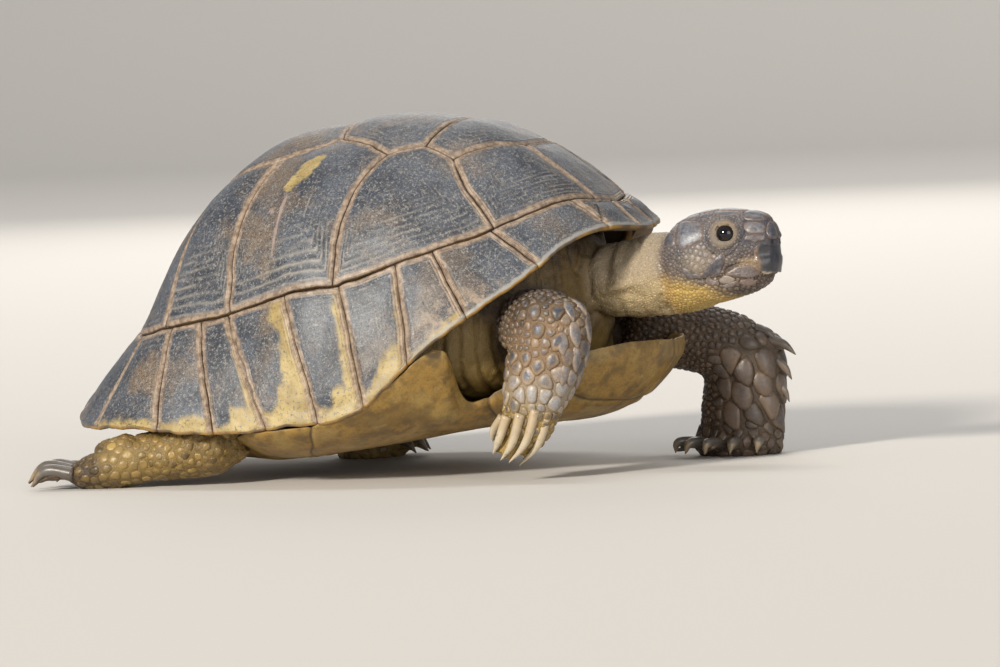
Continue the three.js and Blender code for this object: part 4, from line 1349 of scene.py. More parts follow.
def markings(points, owner):
    """How yellow, red, dark, blue and pale the skin is at each point, from 0 to 1."""
    x, y, z = points.T / MM
    on = parts_of(owner)
    soft = cloud(points, 6 * MM, 81)
    fine = cloud(points, 1.6 * MM, 82)
    hx, _, hz = in_head(points).T
    throat = 1 - steps(hz + 0.28 * hx + 1.5 * soft, -12.5, -8.5)
    low_neck = 1 - steps(z - 0.12 * (x - 60) + 2 * soft, 57, 62)
    yellow = on["neck"] * (0.25 + 0.75 * low_neck) + (on["jaw"] | on["head"]) * throat
    yellow += on["leg_front_right"] * (0.35 + 0.3 * soft) + on["foot_front_right"] * 0.95 + on["trunk"]
    # Forward of x = 82 mm the left foreleg gets no yellow: a painted shadow of the head, which falls there.
    yellow += on["leg_front_left"] * 0.35 * (x < 82) + on["foot_front_left"] * 0.25
    yellow += (on["leg_hind"] | on["foot_hind"]) * (0.85 + 0.15 * steps(soft, -0.3, 0.7))
    yellow += on["tail"] * 0.15
    # The pocket darkens upwards under the shell's rim: painted shade over its own amber-brown.
    pocket = on["trunk"] * (0.8 + 0.2 * steps(-soft, -0.2, 0.6))
    # Left foreleg dark 0.94: partly its own brown, partly painted shade of the head's shadow.
    dark = pocket * (0.72 + 0.26 * steps(z, 48, 60)) + (on["leg_front_left"] | on["foot_front_left"]) * 0.94
    headed = (on["head"] | on["jaw"]) * (1 - throat)
    dark += headed * (0.62 + 0.15 * fine + 0.25 * on["jaw"] - 0.32 * steps(hz, 7, 11))
    dark += 0.6 * headed * steps(hx, 8.8, 10) * steps(hz, 4, 5)
    # The head's blue-grey is partly its own grey and partly a painted reflection of the sky.
    blue = headed * (0.3 + 0.35 * steps(hz, -6, 8)) * (1 - 0.6 * on["jaw"])
    dark += on["neck"] * np.clip(0.05 + 0.2 * steps(z, 68, 77) + 0.25 * steps(fine, 0.2, 0.9), 0, 1)
    # The neck darkens where it goes in under the shell: a painted shadow of the shell.
    dark += on["neck"] * 0.3 * (1 - steps(x + 1.5 * soft, 59, 64))
    # The z - 0.5 x term darkens the lifted foreleg's top, where it goes under the shell: a painted shadow.
    dark += on["leg_front_right"] * (0.36 + 0.6 * steps(z - 0.5 * x, 21, 30) + 0.6 * steps(y, -46, -36))
    dark += on["leg_front_right"] * 0.3 * steps(x, 66, 72) + on["foot_front_right"] * 0.32
    dark += (on["leg_hind"] | on["foot_hind"]) * (0.52 + 0.3 * steps(soft, 0.1, 0.9)) + on["tail"] * 0.6
    dark += on["foot_hind"] * 0.5 * steps(-x - 88, 0, 16) * (y < 0)
    # Painted shade in the pocket's creases, the same ones that are pressed in; its low part is lighter.
    fold = on["trunk"] * creases(points * np.array([1, 0.6, 0.2]), 4.2 * MM, 74)
    dark += 0.6 * fold - 0.22 * on["trunk"] * steps(-z, -46, -30) * (1 - fold)
    brown = on["leg_front_left"] | on["foot_front_left"]
    red = brown * (0.45 + 0.25 * soft)
    pale = brown * 0.06 * steps(x, 84, 92)
    pale = pale + on["leg_front_right"] * 0.5 * steps(z, 18, 26) * (1 - steps(z, 28, 38))
    # The 0.25 pale of the low neck is painted light: it brightens the shaded underside, as if lit from
    # below.
    pale += on["neck"] * (0.2 + 0.2 * steps(z, 58, 66) + 0.25 * low_neck)
    red = red + on["head"] * 0.55 * np.exp(-(((hx - 13) / 3.2) ** 2 + ((hz - 0.8) / 2.2) ** 2))
    red += on["jaw"] * 0.45 * steps(hx, 6, 15) + on["leg_hind"] * 0.35 * steps(-soft, 0, 0.8)
    red += on["head"] * 0.3 * steps(-hx, 10, 18) + on["leg_front_right"] * 0.4
    marks = {"yellow": yellow, "red": red, "dark": dark, "blue": blue, "pale": pale}
    return face_markings(marks, on["head"], in_head(points), soft, fine)


def face_markings(marks, head, places, soft, fine):
    """The marks with the lids, the ear, and painted shade in the crease round the lids and the nostrils."""
    hx, hy, hz = places.T
    off_eye = np.hypot(hx - EYE[0], hz - EYE[2])
    beside_eye = head * (np.abs(hy) > 6)
    lid = beside_eye * (1 - steps(off_eye, 4.6, 5.6)) * steps(off_eye, 2.6, 2.9)
    # Painted shade: the crease pressed in round the lids is darkened.
    crease = beside_eye * np.exp(-((off_eye - 5.35) / 0.3) ** 2)
    ear = head * (np.hypot((hx + 3.5) / 5.2, hz / 4.4) < 1) * (np.abs(hy) > 8)
    # Painted shade: the nostrils are painted dark as holes.
    nostril = np.sqrt((hx - 18.3) ** 2 + (np.abs(hy) - 2.4) ** 2 + (hz - 4.9) ** 2) < 1.3
    bare = (1 - 0.45 * lid) * (1 - 0.75 * ear * (0.6 + 0.4 * fine))
    return {
        "yellow": marks["yellow"] + 0.15 * ear,
        "red": marks["red"] + 0.4 * ear * steps(soft, -0.4, 0.4),
        "dark": marks["dark"] * bare + nostril + 0.6 * crease,
        "blue": marks["blue"] * (1 - 0.55 * lid),
        "pale": marks["pale"] + 0.26 * lid * (1 - steps(off_eye, 3.6, 4.3)) + 0.2 * ear,
    }


def keep_marks(piece, marks):
    """Writes the values to the mesh, one number for each vertex under each name."""
    for name, values in marks.items():
        layer = piece.data.attributes.new(name, "FLOAT", "POINT")
        layer.data.foreach_set("value", np.clip(values, 0, 1).astype(np.float32))


MARK_SMOOTHING = 30
skin_marks = markings(points_of(skin), skin_owner)
skin_marks = {name: softened(skin, values, MARK_SMOOTHING) for name, values in skin_marks.items()}
keep_marks(skin, skin_marks)
print("marked", len(skin_owner), "points")

# %% [markdown]
# Skin colour is mixed in a fixed order: a beige ground, then yellow, red, dark, blue and pale over it,
# each by its own value. Scales add a gap colour at their rims, a dark core, a grey bloom, wear and a
# small change of tone from one to the next.
# %% Skin and scale finishes
SKIN_COLOURS = {
    "ground": (0.28, 0.2, 0.12),
    "yellow": (0.46, 0.30, 0.068),
    "red": (0.25, 0.12, 0.085),
    "dark": (0.040, 0.021, 0.008),
    # Blue: partly the scales' own dark grey, partly a painted reflection of the sky.
    "blue": (0.06, 0.068, 0.1),
    "pale": (0.43, 0.38, 0.3),
}


def hide_colour(f):
    """The marked colour of the skin, with soft blotches and fine specks."""
    colour = SKIN_COLOURS["ground"]
    blotch = f.noise(2.6 * MM, 3, 0.6)
    for mark in MARKS:
        share = f.times(f.attribute(mark), f.plus(f.times(blotch, 0.7), 0.62))
        colour = f.mix(share, colour, SKIN_COLOURS[mark])
    specks = f.steps(f.noise(0.55 * MM, 2, 0.6), 0.52, 0.7)
    colour = f.mix(f.times(specks, 0.3), colour, (0.06, 0.05, 0.04))
    return colour


def skin_finish():
    f = Finish("soft skin")
    colour = hide_colour(f)
    grains = f.cell_edges(0.62 * MM)
    gaps = f.steps(grains, 0.14, 0.0)
    colour = f.mix(f.times(gaps, 0.35), colour, (0.05, 0.035, 0.02))
    bump = f.bump(f.steps(grains, 0.0, 0.3), 0.12 * MM, 0.7)
    bump = f.bump(f.noise(0.3 * MM, 3, 0.6), 0.05 * MM, 0.5, bump)
    rough = f.plus(f.times(f.noise(3 * MM, 2, 0.5), 0.25), 0.42)
    return f.finish(Base_Color=colour, Roughness=rough, Normal=bump, Subsurface_Weight=0.06,
                    Subsurface_Radius=(0.6 * MM, 0.3 * MM, 0.2 * MM))


def scale_finish(name, gloss=0.4, gap=(0.028, 0.019, 0.011), worn=(0.5, 0.47, 0.42)):
    f = Finish(name)
    colour = hide_colour(f)
    streaks = f.steps(f.noise(1.1 * MM, 4, 0.65, distortion=0.6), 0.42, 0.68)
    colour = f.mix(f.times(streaks, 0.2), colour, worn)
    core = f.attribute("core")
    wear = f.times(core, f.steps(f.noise(0.8 * MM, 3, 0.6), 0.22, 0.5))
    colour = f.mix(wear, colour, (0.036, 0.04, 0.054))
    bloom = f.times(f.attribute("bloom"), f.steps(f.noise(0.9 * MM, 4, 0.7), 0.35, 0.6))
    colour = f.mix(bloom, colour, (0.32, 0.35, 0.4))
    colour = f.mix(f.attribute("gap"), colour, gap)
    tone = f.plus(f.times(f.attribute("tone"), 0.5), 0.75)
    colour = f.mix(1.0, colour, tone, "MULTIPLY")
    bump = f.bump(f.noise(0.35 * MM, 4, 0.65), 0.07 * MM, 0.6)
    bump = f.bump(f.noise(1.4 * MM, 3, 0.5, distortion=0.5), 0.16 * MM, 0.5, bump)
    rough = f.plus(f.times(f.noise(1.5 * MM, 3, 0.6), 0.3), gloss - 0.15)
    return f.finish(Base_Color=colour, Roughness=rough, Normal=bump)


skin.data.materials.append(skin_finish())
print("finishes ready")

# %% [markdown]
# A coat of scales starts as seeds. They are thrown on the skin by chance, many more than are needed, and
# one after another is kept if it isn't too close to those kept before. How close depends on its size.
# %% Seeds of the scales
CROWD = 9  # seeds tried for each that finds room


def scatter(low, high, size, chosen, seed):
    """Seeds on the skin in a box, apart by their own sizes, where `chosen` allows them."""
    middles = face_middles(skin)
    inside = np.all((middles > np.array(low) * MM) & (middles < np.array(high) * MM), axis=1)
    faces = np.nonzero(inside)[0]
    owner = owners(middles[faces])
    keep = chosen(middles[faces], owner)
    faces, owner = faces[keep], owner[keep]
    sizes = size(middles[faces], owner)
    area = np.zeros(len(skin.data.polygons))
    skin.data.polygons.foreach_get("area", area)
    wanted = area[faces] / (sizes * MM) ** 2 * CROWD
    rng = np.random.default_rng(seed)
    counts = rng.poisson(wanted)
    picks = np.repeat(np.arange(len(faces)), counts)
    rng.shuffle(picks)
    corners = [skin.data.polygons[faces[i]].vertices for i in picks]
    vertices = points_of(skin)
    share = rng.dirichlet((1, 1, 1), len(picks))
    places = np.array([vertices[list(c)[:3]].T @ s for c, s in zip(corners, share)])
    sizes = size(places, owner[picks])
    near = search_tree(places)
    free = np.ones(len(places), bool)
    kept = []
    for i in range(len(places)):
        if not free[i]:
            continue
        kept.append(i)
        for _, j, far in near.find_range(places[i], 1.75 * sizes[i] * MM):
            if far < 0.875 * (sizes[i] + sizes[j]) * MM:
                free[j] = False
    return places[kept], sizes[kept]


print("a coat is chosen from", CROWD, "seeds for each place")

# %% [markdown]
# A scale's outline comes from its neighbours, as in a real coat: it swells until it meets them halfway,
# less a narrow gap. Big overlapping scales are also drawn out towards the foot.
# %% Outlines of the scales
SQUARENESS = 9  # the higher, the sharper a scale's corners
NEIGHBOURS = 12


def cell_outlines(places, sizes, ways, stretch, count, gap):
    """An outline round every seed, in its tangent plane, and the plane's normal."""
    normals = unit(np.array([tree.find_nearest(place)[1][:] for place in places]))
    along = unit(ways - (ways * normals).sum(1, keepdims=True) * normals)
    across = np.cross(normals, along)
    near = search_tree(places)
    angles = np.linspace(0, 2 * np.pi, count, endpoint=False)
    spokes = np.stack([np.cos(angles), np.sin(angles)], axis=1)
    reach = np.zeros((len(places), count))
    for i, place in enumerate(places):
        found = [j for _, j, far in near.find_n(place, NEIGHBOURS + 1)
                 if j != i and far < 3.4 * (sizes[i] + sizes[j]) / 2 * MM]
        off = places[found] - place
        flat = np.stack([off @ along[i], off @ across[i]], axis=1)
        far = np.linalg.norm(flat, axis=1) + 1e-9
        half = far * sizes[i] / (sizes[i] + sizes[found])
        lean = np.maximum(spokes @ (flat / far[:, None]).T, 0)
        power = ((lean / half) ** SQUARENESS).sum(1) + (1 / (1.45 * sizes[i] * MM)) ** SQUARENESS
        reach[i] = power ** (-1 / SQUARENESS)
    reach = np.maximum(reach - gap * MM, 0.25 * sizes[:, None] * MM)
    flat = spokes[None] * reach[:, :, None]
    flat[:, :, 0] *= 1 + stretch[:, None] * (spokes[None, :, 0] > 0) * spokes[None, :, 0]
    outlines = places[:, None] + flat[:, :, :1] * along[:, None] + flat[:, :, 1:] * across[:, None]
    return outlines, normals


print("each outline looks at", NEIGHBOURS, "neighbours")

# %% [markdown]
# Each scale is a little dome with its rim sunk in the skin. Overlapping ones are lifted at the tip. All
# scales of one region are joined in one mesh, and each keeps its own values for the material: how dark
# its core is, how much bloom lies on it, and where the gap begins.
# %% Raise the scales
SOLE = 0.03 * MM  # nothing reaches lower
UV_PATCH = 0.0015  # radius of a scale's patch, as a share of the unwrap


def fan_faces(spokes, rings):
    """The faces of one scale: a fan at its top, then bands of quads out to its rim."""
    top = spokes * rings
    faces = [(top, k, (k + 1) % spokes) for k in range(spokes)]
    for inner in range(0, top - spokes, spokes):
        outer = inner + spokes
        for k in range(spokes):
            after = (k + 1) % spokes
            faces.append((inner + k, outer + k, outer + after, inner + after))
    return faces


def new_mesh(name, points, faces):
    """A smooth-shaded piece from points and faces."""
    mesh = bpy.data.meshes.new(name)
    mesh.from_pydata(points, [], faces)
    mesh.shade_smooth()
    piece = bpy.data.objects.new(name, mesh)
    bpy.context.scene.collection.objects.link(piece)
    return piece


def patched(piece, places, size, rings, turns):
    """Gives each scale a small round patch of the skin's unwrap, at the place where it grows."""
    middles = np.array([face_uv[tree.find_nearest(place)[2]] for place in places])
    circle = np.stack([np.cos(turns), np.sin(turns)], axis=1)
    patch = np.append((rings[:, None, None] * circle).reshape(-1, 2), [[0, 0]], axis=0) * UV_PATCH
    corner = np.zeros(len(piece.data.loops), int)
    piece.data.loops.foreach_get("vertex_index", corner)
    layer = piece.data.uv_layers.new(name="OFBake")
    layer.data.foreach_set("uv", (middles[corner // size] + patch[corner % size]).ravel())


def raised(name, places, outlines, normals, rings, heights, lift, sink, marks, crown=2.6):
    """One mesh of scales: outlines filled with rings, laid on the skin, domed and lifted at the tip."""
    count, spokes = outlines.shape[:2]
    rings = np.array(rings)
    turns = np.linspace(0, 2 * np.pi, spokes, endpoint=False)
    share = np.append(np.repeat(rings, spokes), 0.0)
    dome_share = np.append(np.repeat(np.sqrt(np.maximum(1 - rings ** crown, 0)), spokes), 1.0)
    to_tip = np.append(np.tile(np.cos(turns), len(rings)), 0.0) * share
    spread = outlines[:, None] - places[:, None, None]
    grid = places[:, None, None] + spread * rings[None, :, None, None]
    grid = np.concatenate([grid.reshape(count, -1, 3), places[:, None]], axis=1)
    on_skin = np.array([tree.find_nearest(point)[0][:] for point in grid.reshape(-1, 3)])
    rise = dome_share[None] * heights[:, None] * MM
    bulk = np.linalg.norm(spread, axis=3).mean((1, 2))
    rise += (lift * bulk)[:, None] * to_tip.clip(-0.3, 1)[None] * (share < 0.99)
    rise -= sink * MM * (share > 0.99)[None]
    points = on_skin.reshape(grid.shape) + rise[:, :, None] * normals[:, None]
    points[:, :, 2] = np.maximum(points[:, :, 2], SOLE)
    fan = fan_faces(spokes, len(rings))
    size = len(share)
    points = points.reshape(-1, 3)
    piece = new_mesh(name, points, [tuple(v + i * size for v in face) for i in range(count) for face in fan])
    patched(piece, places, size, rings, turns)
    values = {key: np.repeat(value, size) for key, value in marks.items()}
    share = np.tile(share, count)
    ragged = share + 0.25 * cloud(points, 1.5 * MM, 83)
    values["gap"] = steps(share, 0.9, 1.0) * 0.9
    values["core"] = values["core"] * (1 - steps(ragged, 0.42, 0.82))
    values["bloom"] = values["bloom"] * (1 - steps(share, 0.5, 0.95))
    keep_marks(piece, values)
    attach(piece, "root")
    return piece


print("scale tools ready")

# %% [markdown]
# The coat differs from place to place. The raised foreleg carries large dark scales with tan edges among
# small ones, and paler ones low down. The other foreleg has beads above, and broad overlapping scales
# below. Hind legs and tail have low scales, and the neck fine grains. Smallest are those of the face.
# %% Where scales grow and how big they are
def leg_coat(points, owner):
    z = points[:, 2] / MM
    legs = np.char.startswith(owner, "leg_") | np.char.startswith(owner, "foot_")
    return (legs | (owner == "tail")) & (z > 0.35)


def foreleg_size(points, _):
    _, y, z = points.T / MM
    mixed = steps(cloud(points, 5.5 * MM, 91), -0.15, 0.35)
    outer = steps(-y, 46, 52)
    large = outer * mixed * steps(-z, -59, -55)
    size = 1.12 + 1.5 * large
    size = np.where((z < 41) & (y < -50), 2.3, size)
    return np.where(z < 25, 1.45, size)


def standing_leg_size(points, _):
    x, y, z = points.T / MM
    front = steps(x - 0.25 * (y - 30), 80, 90)
    low = steps(-z + 0.35 * (x - 90), -39, -34)
    size = 0.95 + 0.35 * front + 2.5 * front * low
    return np.where(z < 11, 1.9, size)


def hind_size(points, owner):
    z = points[:, 2] / MM
    foot = np.char.startswith(owner, "foot_")
    return np.where(foot, 1.75, 1.35) - 0.3 * steps(z, 12, 24)


def tail_size(points, _):
    return np.full(len(points), 1.25)


print("sizes ready")

# %% [markdown]
# `dressed` puts these steps together for one region of the body, with small random changes of direction,
# tone and darkness from one scale to the next.
# %% Dress a region
def dressed(name, low, high, size, seed, way, rings=(0.5, 0.86, 1.0), count=10, gap=0.1, tall=0.3, lap=0.0,
            dark=0.5, bloom=0.0, chosen=leg_coat):
    """A region's scales: scattered, outlined and raised, with their own tones and markings."""
    places, sizes = scatter(low, high, size, chosen, seed)
    rng = np.random.default_rng(seed + 500)
    big = steps(sizes, 1.5, 2.4)
    ways = unit(np.array(way, float) + 0.25 * rng.standard_normal((len(places), 3)))
    outlines, normals = cell_outlines(places, sizes, ways, lap * big, count, gap)
    under = np.array([first_corner[tree.find_nearest(place)[2]] for place in places])
    marks = {key: values[under].copy() for key, values in skin_marks.items()}
    marks["tone"] = np.clip(0.5 + 0.28 * rng.standard_normal(len(places)), 0, 1)
    marks["dark"] = marks["dark"] + 0.12 * rng.standard_normal(len(places))
    washed = steps(marks["pale"], 0.12, 0.4)
    core = dark * (0.7 + 0.3 * big) * rng.uniform(0.5, 1.15, len(places))
    marks["core"] = np.clip(core * (1 - 0.6 * washed), 0, 1)
    marks["bloom"] = np.clip(bloom * rng.uniform(0.2, 1.1, len(places)) * (0.15 + washed), 0, 1)
    heights = tall * sizes ** 0.8
    piece = raised(name, places, outlines, normals, rings, heights, 0.2 * lap * big, 0.25, marks)
    print(name, "has", len(places), "scales and", triangles(piece), "triangles")
    return piece


print("ready to dress")

# %% [markdown]
# The legs and the tail are dressed first. Seeds keep off the places of the long scales down the front of
# the lifted foreleg, which are listed here and made later.
# %% The coat of the legs and tail
LONG_SCALES = [  # down the front of the lifted foreleg, in millimetres: root, tip, half the width
    ((67.5, -47, 60.5), (72.5, -49.5, 52), 1.9), ((66, -51.5, 59), (69.5, -54, 50.5), 1.7),
    ((71.8, -48.5, 53.5), (74.4, -50, 43.5), 2.1), ((69.5, -54, 52), (71.5, -55.5, 42.5), 2.2),
    ((72.8, -49.5, 45.5), (73.4, -50.5, 35.5), 2.1), ((71, -54.5, 44), (71, -55.5, 34.5), 2.0),
    ((66, -56, 48.5), (67, -58, 40.5), 2.2), ((71.5, -50, 37.5), (69.8, -51, 28.5), 1.9),
    ((67.5, -56, 38.5), (66, -57.5, 30.5), 1.9),
]


def long_frame(root, tip):
    """The middle of a long scale on the skin, its normal, its two directions, and half its length."""
    root, tip = np.array(root) * MM, np.array(tip) * MM
    middle = np.array(tree.find_nearest((root + tip) / 2)[0][:])
    normal = unit(np.array(tree.find_nearest(middle)[1][:]))
    ahead = unit((tip - root) - normal * ((tip - root) @ normal))
    return middle, normal, ahead, np.cross(normal, ahead), np.linalg.norm(tip - root) / 2


def foreleg_coat(points, owner):
    """The lifted foreleg, apart from where the long scales will lie."""
    free = leg_coat(points, owner)
    for root, tip, half in LONG_SCALES:
        middle, normal, ahead, across, reach = long_frame(root, tip)
        off = points - middle
        round_it = np.hypot(off @ ahead / reach, off @ across / (half * MM))
        free &= (round_it > 0.85) | (np.abs(off @ normal) > 4 * MM)
    return free


coat = [
    dressed("scales_foreleg_right", (30, -66, 3), (80, -22, 66), foreleg_size, 11, (0.1, -0.25, -1),
            rings=(0.4, 0.72, 0.92, 1.0), count=12, gap=0.16, tall=0.46, lap=0.45, dark=1.0, bloom=0.7,
            chosen=foreleg_coat),
    dressed("scales_foreleg_left", (38, 12, 0), (112, 62, 60), standing_leg_size, 12, (0.25, 0.1, -1),
            rings=(0.4, 0.72, 0.92, 1.0), count=12, gap=0.2, tall=0.42, lap=0.85, dark=0.3, bloom=0.5),
    dressed("scales_hind_right", (-125, -72, 0), (-38, -28, 32), hind_size, 13, (-1, 0, -0.4),
            tall=0.2, dark=0.15),
    dressed("scales_hind_left", (-66, 30, 0), (-25, 72, 34), hind_size, 14, (1, 0.3, -0.5),
            tall=0.22, dark=0.3),
    dressed("scales_tail", (-115, -10, 4), (-86, 10, 30), tail_size, 15, (-1, 0, 0), tall=0.3, dark=0.3),
]
WORN = {  # the colour of worn horn on each limb
    "foreleg_right": (0.5, 0.44, 0.34),
    # Darker than the right: partly its own brown, partly painted shade of the head's shadow.
    "foreleg_left": (0.26, 0.17, 0.1),
    "hind": (0.36, 0.24, 0.08),
    "tail": (0.4, 0.32, 0.2),
}
for piece in coat:
    worn = next(colour for place, colour in WORN.items() if place in piece.name)
    piece.data.materials.append(scale_finish(piece.name.replace("_", " "), worn=worn))
print("coat of", len(coat), "regions")

# %% [markdown]
# The head carries real shields with drawn outlines. Each is a list of places in the head's frame, in
# millimetres: forward, aside and up. They are smoothed, laid on the skin and mirrored to the other side.
# Their marks say how dark, pale, red or yellow the shield is, and how much grey bloom lies on it.
# %% Head shields
SHIELD_MARKS = ("dark", "bloom", "core", "red", "yellow", "pale")
SHIELDS = {  # height, marks and outline
    "temple": (0.42, (0.85, 0.24, 0.6), [
        (-12.2, 8.4, 12.3), (-9.0, 9.5, 12.6), (-5.7, 9.4, 12.6), (-3.4, 10.9, 10.9), (-2.4, 11.6, 9.0),
        (-2.3, 12.5, 6.7), (-4.1, 13.0, 5.3), (-6.8, 13.7, 4.4), (-8.8, 14.2, 3.5), (-10.7, 14.1, 3.5),
        (-11.5, 13.8, 5.0), (-11.7, 13.0, 7.2), (-12.3, 11.7, 9.5), (-12.8, 9.5, 11.4)]),
    "temple_rear": (0.38, (0.95, 0.075, 0.6), [
        (-18.4, 9.5, 6.6), (-18.0, 8.4, 8.3), (-15.2, 10.2, 9.3), (-12.9, 11.9, 8.7), (-12.2, 13.4, 6.3),
        (-12.3, 13.9, 4.5), (-14.3, 13.7, 4.5), (-17.0, 12.1, 5.0)]),
    "temple_upper": (0.25, (0.4, 0.25, 0.1), [
        (-16.2, 8.9, 9.7), (-15.3, 7.6, 11.2), (-13.7, 8.4, 11.8), (-12.9, 10.3, 10.4), (-13.2, 11.4, 9.4)]),
    "crown_rear": (0.3, (0.85, 0.075, 0.6), [
        (-15.5, 8.0, 11.6), (-13.5, 8.4, 12.6), (-10.8, 8.0, 13.5), (-10.6, 6.2, 14.4), (-13.0, 5.6, 13.8),
        (-16.0, 6.2, 12.2)]),
    "crown_mid": (0.34, (0.8, 0.1, 0.8), [
        (-9.8, 8.8, 13.2), (-6.4, 8.9, 13.3), (-5.9, 7.6, 14.2), (-7.0, 6.0, 15.0), (-9.5, 5.6, 14.8),
        (-10.2, 7.0, 14.0)]),
    "crown_front": (0.3, (0.8, 0.05, 0.7), [
        (-5.2, 8.9, 13.4), (-3.4, 8.9, 13.4), (-2.0, 8.3, 14.0), (-2.6, 7.0, 14.7), (-4.6, 6.2, 15.0),
        (-5.4, 7.4, 14.4)]),
    "crown_inner": (0.35, (0.75, 0.15, 0.6), [
        (-2.2, 0.5, 16), (-2.6, 4.8, 15.6), (-5.0, 5.6, 15.4), (-8.4, 5.0, 15), (-8.0, 0.6, 15.4)]),
    "crown_last": (0.3, (0.7, 0.1, 0.6), [
        (-8.8, 0.5, 15), (-9.2, 4.8, 14.8), (-12.6, 4.8, 14), (-14.6, 2.8, 13), (-14.4, 0.5, 13.2)]),
    "brow_inner": (0.28, (0.7, 0.1, 0.5), [
        (8.2, 4.0, 15.3), (7.6, 5.6, 14.6), (3.2, 7.4, 14.6), (-0.8, 7.0, 15), (-1.6, 4.8, 15.6),
        (3.0, 4.4, 16)]),
    "snout_top": (0.4, (0.75, 0.17, 0.5, 0, 0.2), [
        (8.8, 5.5, 13.8), (8.9, 0.4, 15.6), (12.3, 0.4, 14.9), (15.0, 0.4, 13.9), (16.1, 0.5, 12.7),
        (15.8, 3.1, 12.1), (13.1, 5.3, 12.2), (10.4, 6.1, 12.9)]),
    "snout_side": (0.36, (0.7, 0.25, 0.4, 0.15), [
        (10.3, 6.9, 11.8), (12.6, 6.0, 11.3), (15.3, 4.3, 11.1), (16.4, 3.8, 10.1), (16.7, 4.6, 8.1),
        (14.6, 6.5, 8.1), (11.8, 7.8, 8.1), (10.9, 7.8, 9.5)]),
    "nose": (0.4, (0.97, 0.075, 0.8), [
        (16.9, 3.2, 10.8), (17.0, 0.4, 11.9), (17.6, 0.4, 9.8), (18.1, 0.4, 7.8), (18.4, 0.4, 6.0),
        (18.2, 2.6, 5.9), (17.5, 4.2, 6.3), (17.1, 4.4, 8.2)]),
    "lore": (0.24, (0.7, 0.1, 0.2, 0.3), [
        (10.6, 8.3, 7.3), (13.1, 7.3, 7.4), (15.9, 5.5, 7.3), (16.6, 4.9, 6.6), (16.3, 5.5, 5.5),
        (13.8, 7.4, 5.4), (11.0, 8.5, 5.7)]),
    "cheek": (0.4, (0.97, 0.06, 0.4, 0.1), [
        (-3.0, 12.8, -4.9), (-1.5, 12.6, -3.1), (0.6, 12.2, -0.8), (2.4, 11.6, 1.1), (4.0, 11.1, 1.6),
        (4.7, 10.9, 0.5), (4.4, 10.9, -1.5), (2.7, 11.2, -3.7), (1.2, 11.6, -5.0), (-1.0, 12.2, -5.7),
        (-2.9, 12.7, -5.7)]),
    "ear_low_rear": (0.28, (0.8, 0.05, 0.2, 0.2), [
        (-9.2, 14.3, -2.6), (-8.0, 14.1, -2.9), (-6.5, 13.6, -4.3), (-6.3, 13.5, -6.2), (-7.8, 13.8, -5.5),
        (-9.3, 14.2, -4.0)]),
    "ear_low_front": (0.28, (0.8, 0.05, 0.2, 0.2), [
        (-6.2, 13.6, -4.4), (-4.5, 13.1, -5.0), (-3.5, 12.9, -5.0), (-3.4, 12.8, -6.2), (-5.0, 13.2, -6.6),
        (-6.0, 13.5, -6.3)]),
    "jaw_horn": (0.42, (0.65, 0.18, 0.15, 0.45), [
        (3.9, 10.9, -4.3), (5.1, 10.6, -3.4), (8.0, 9.7, -2.6), (11.2, 8.6, -2.3), (13.4, 7.6, -2.8),
        (14.5, 6.6, -4.3), (14.9, 5.9, -6.0), (13.8, 6.3, -6.6), (11.9, 7.4, -6.3), (9.5, 8.6, -6.2),
        (7.3, 9.4, -5.8), (4.9, 10.4, -5.2)]),
    "lip_1": (0.34, (0.4, 0.1, 0, 0.4, 0, 0.3), [
        (2.3, 11.1, -5.7), (3.9, 10.7, -5.5), (6.3, 9.7, -6.1), (7.2, 9.2, -6.7), (5.9, 9.0, -7.8),
        (3.7, 9.7, -8.0), (2.0, 10.5, -7.5)]),
    "lip_2": (0.3, (0.45, 0.1, 0, 0.4), [
        (-2.0, 12.0, -7.0), (-0.5, 11.7, -6.7), (1.4, 11.0, -6.6), (1.4, 10.7, -7.4), (0.7, 10.6, -8.3),
        (-1.2, 11.2, -8.4), (-2.1, 11.6, -8.1)]),
    "lip_3": (0.3, (0.45, 0.1, 0, 0.35), [
        (1.6, 10.2, -8.6), (4.2, 9.4, -8.5), (6.8, 9.0, -7.5), (8.0, 8.7, -7.3), (7.4, 8.3, -8.3),
        (4.8, 8.5, -9.5), (2.4, 9.5, -9.4)]),
    "lip_4": (0.24, (0.45, 0.05, 0, 0.3), [
        (-3.9, 12.6, -7.1), (-2.5, 11.9, -7.0), (-2.6, 11.7, -8.1), (-4.1, 11.5, -7.9)]),
    "chin_side": (0.28, (0.4, 0.075, 0, 0.5), [
        (8.6, 8.6, -7.0), (11.6, 7.2, -7.3), (13.6, 6.2, -7.6), (13.0, 5.6, -9.4), (10.4, 6.6, -9.5),
        (8.4, 7.8, -8.7)]),
}
CROWN_MIDDLE = (0.4, (0.7, 0.17, 0.6), [
    (8.2, 0, 16), (7.4, 3.4, 15.8), (2.6, 3.8, 16), (-1.0, 4.0, 16), (-1.8, 0, 16.2)])
SHIELD_POINTS = 28
print(len(SHIELDS), "shields on each side")

# %% [markdown]
# Rounding an outline cuts its corners three times, as a carver would. Each shield then takes the way
# that its own outline faces, so that it lies flat even where the skin under it is bent.
# %% Lay the shields
def rounded(places, count):
    """The closed outline with its corners smoothed, as evenly spaced points."""
    loop = np.array(places, float)
    for _ in range(3):
        following = np.roll(loop, -1, axis=0)
        cuts = [0.75 * loop + 0.25 * following, 0.25 * loop + 0.75 * following]
        loop = np.stack(cuts, axis=1).reshape(-1, 3)
    lengths = np.linalg.norm(np.roll(loop, -1, axis=0) - loop, axis=1)
    at = np.concatenate([[0], np.cumsum(lengths)])
    closed = np.concatenate([loop, loop[:1]])
    wanted = np.linspace(0, at[-1], count, endpoint=False)
    return np.stack([np.interp(wanted, at, closed[:, axis]) for axis in range(3)], axis=1)


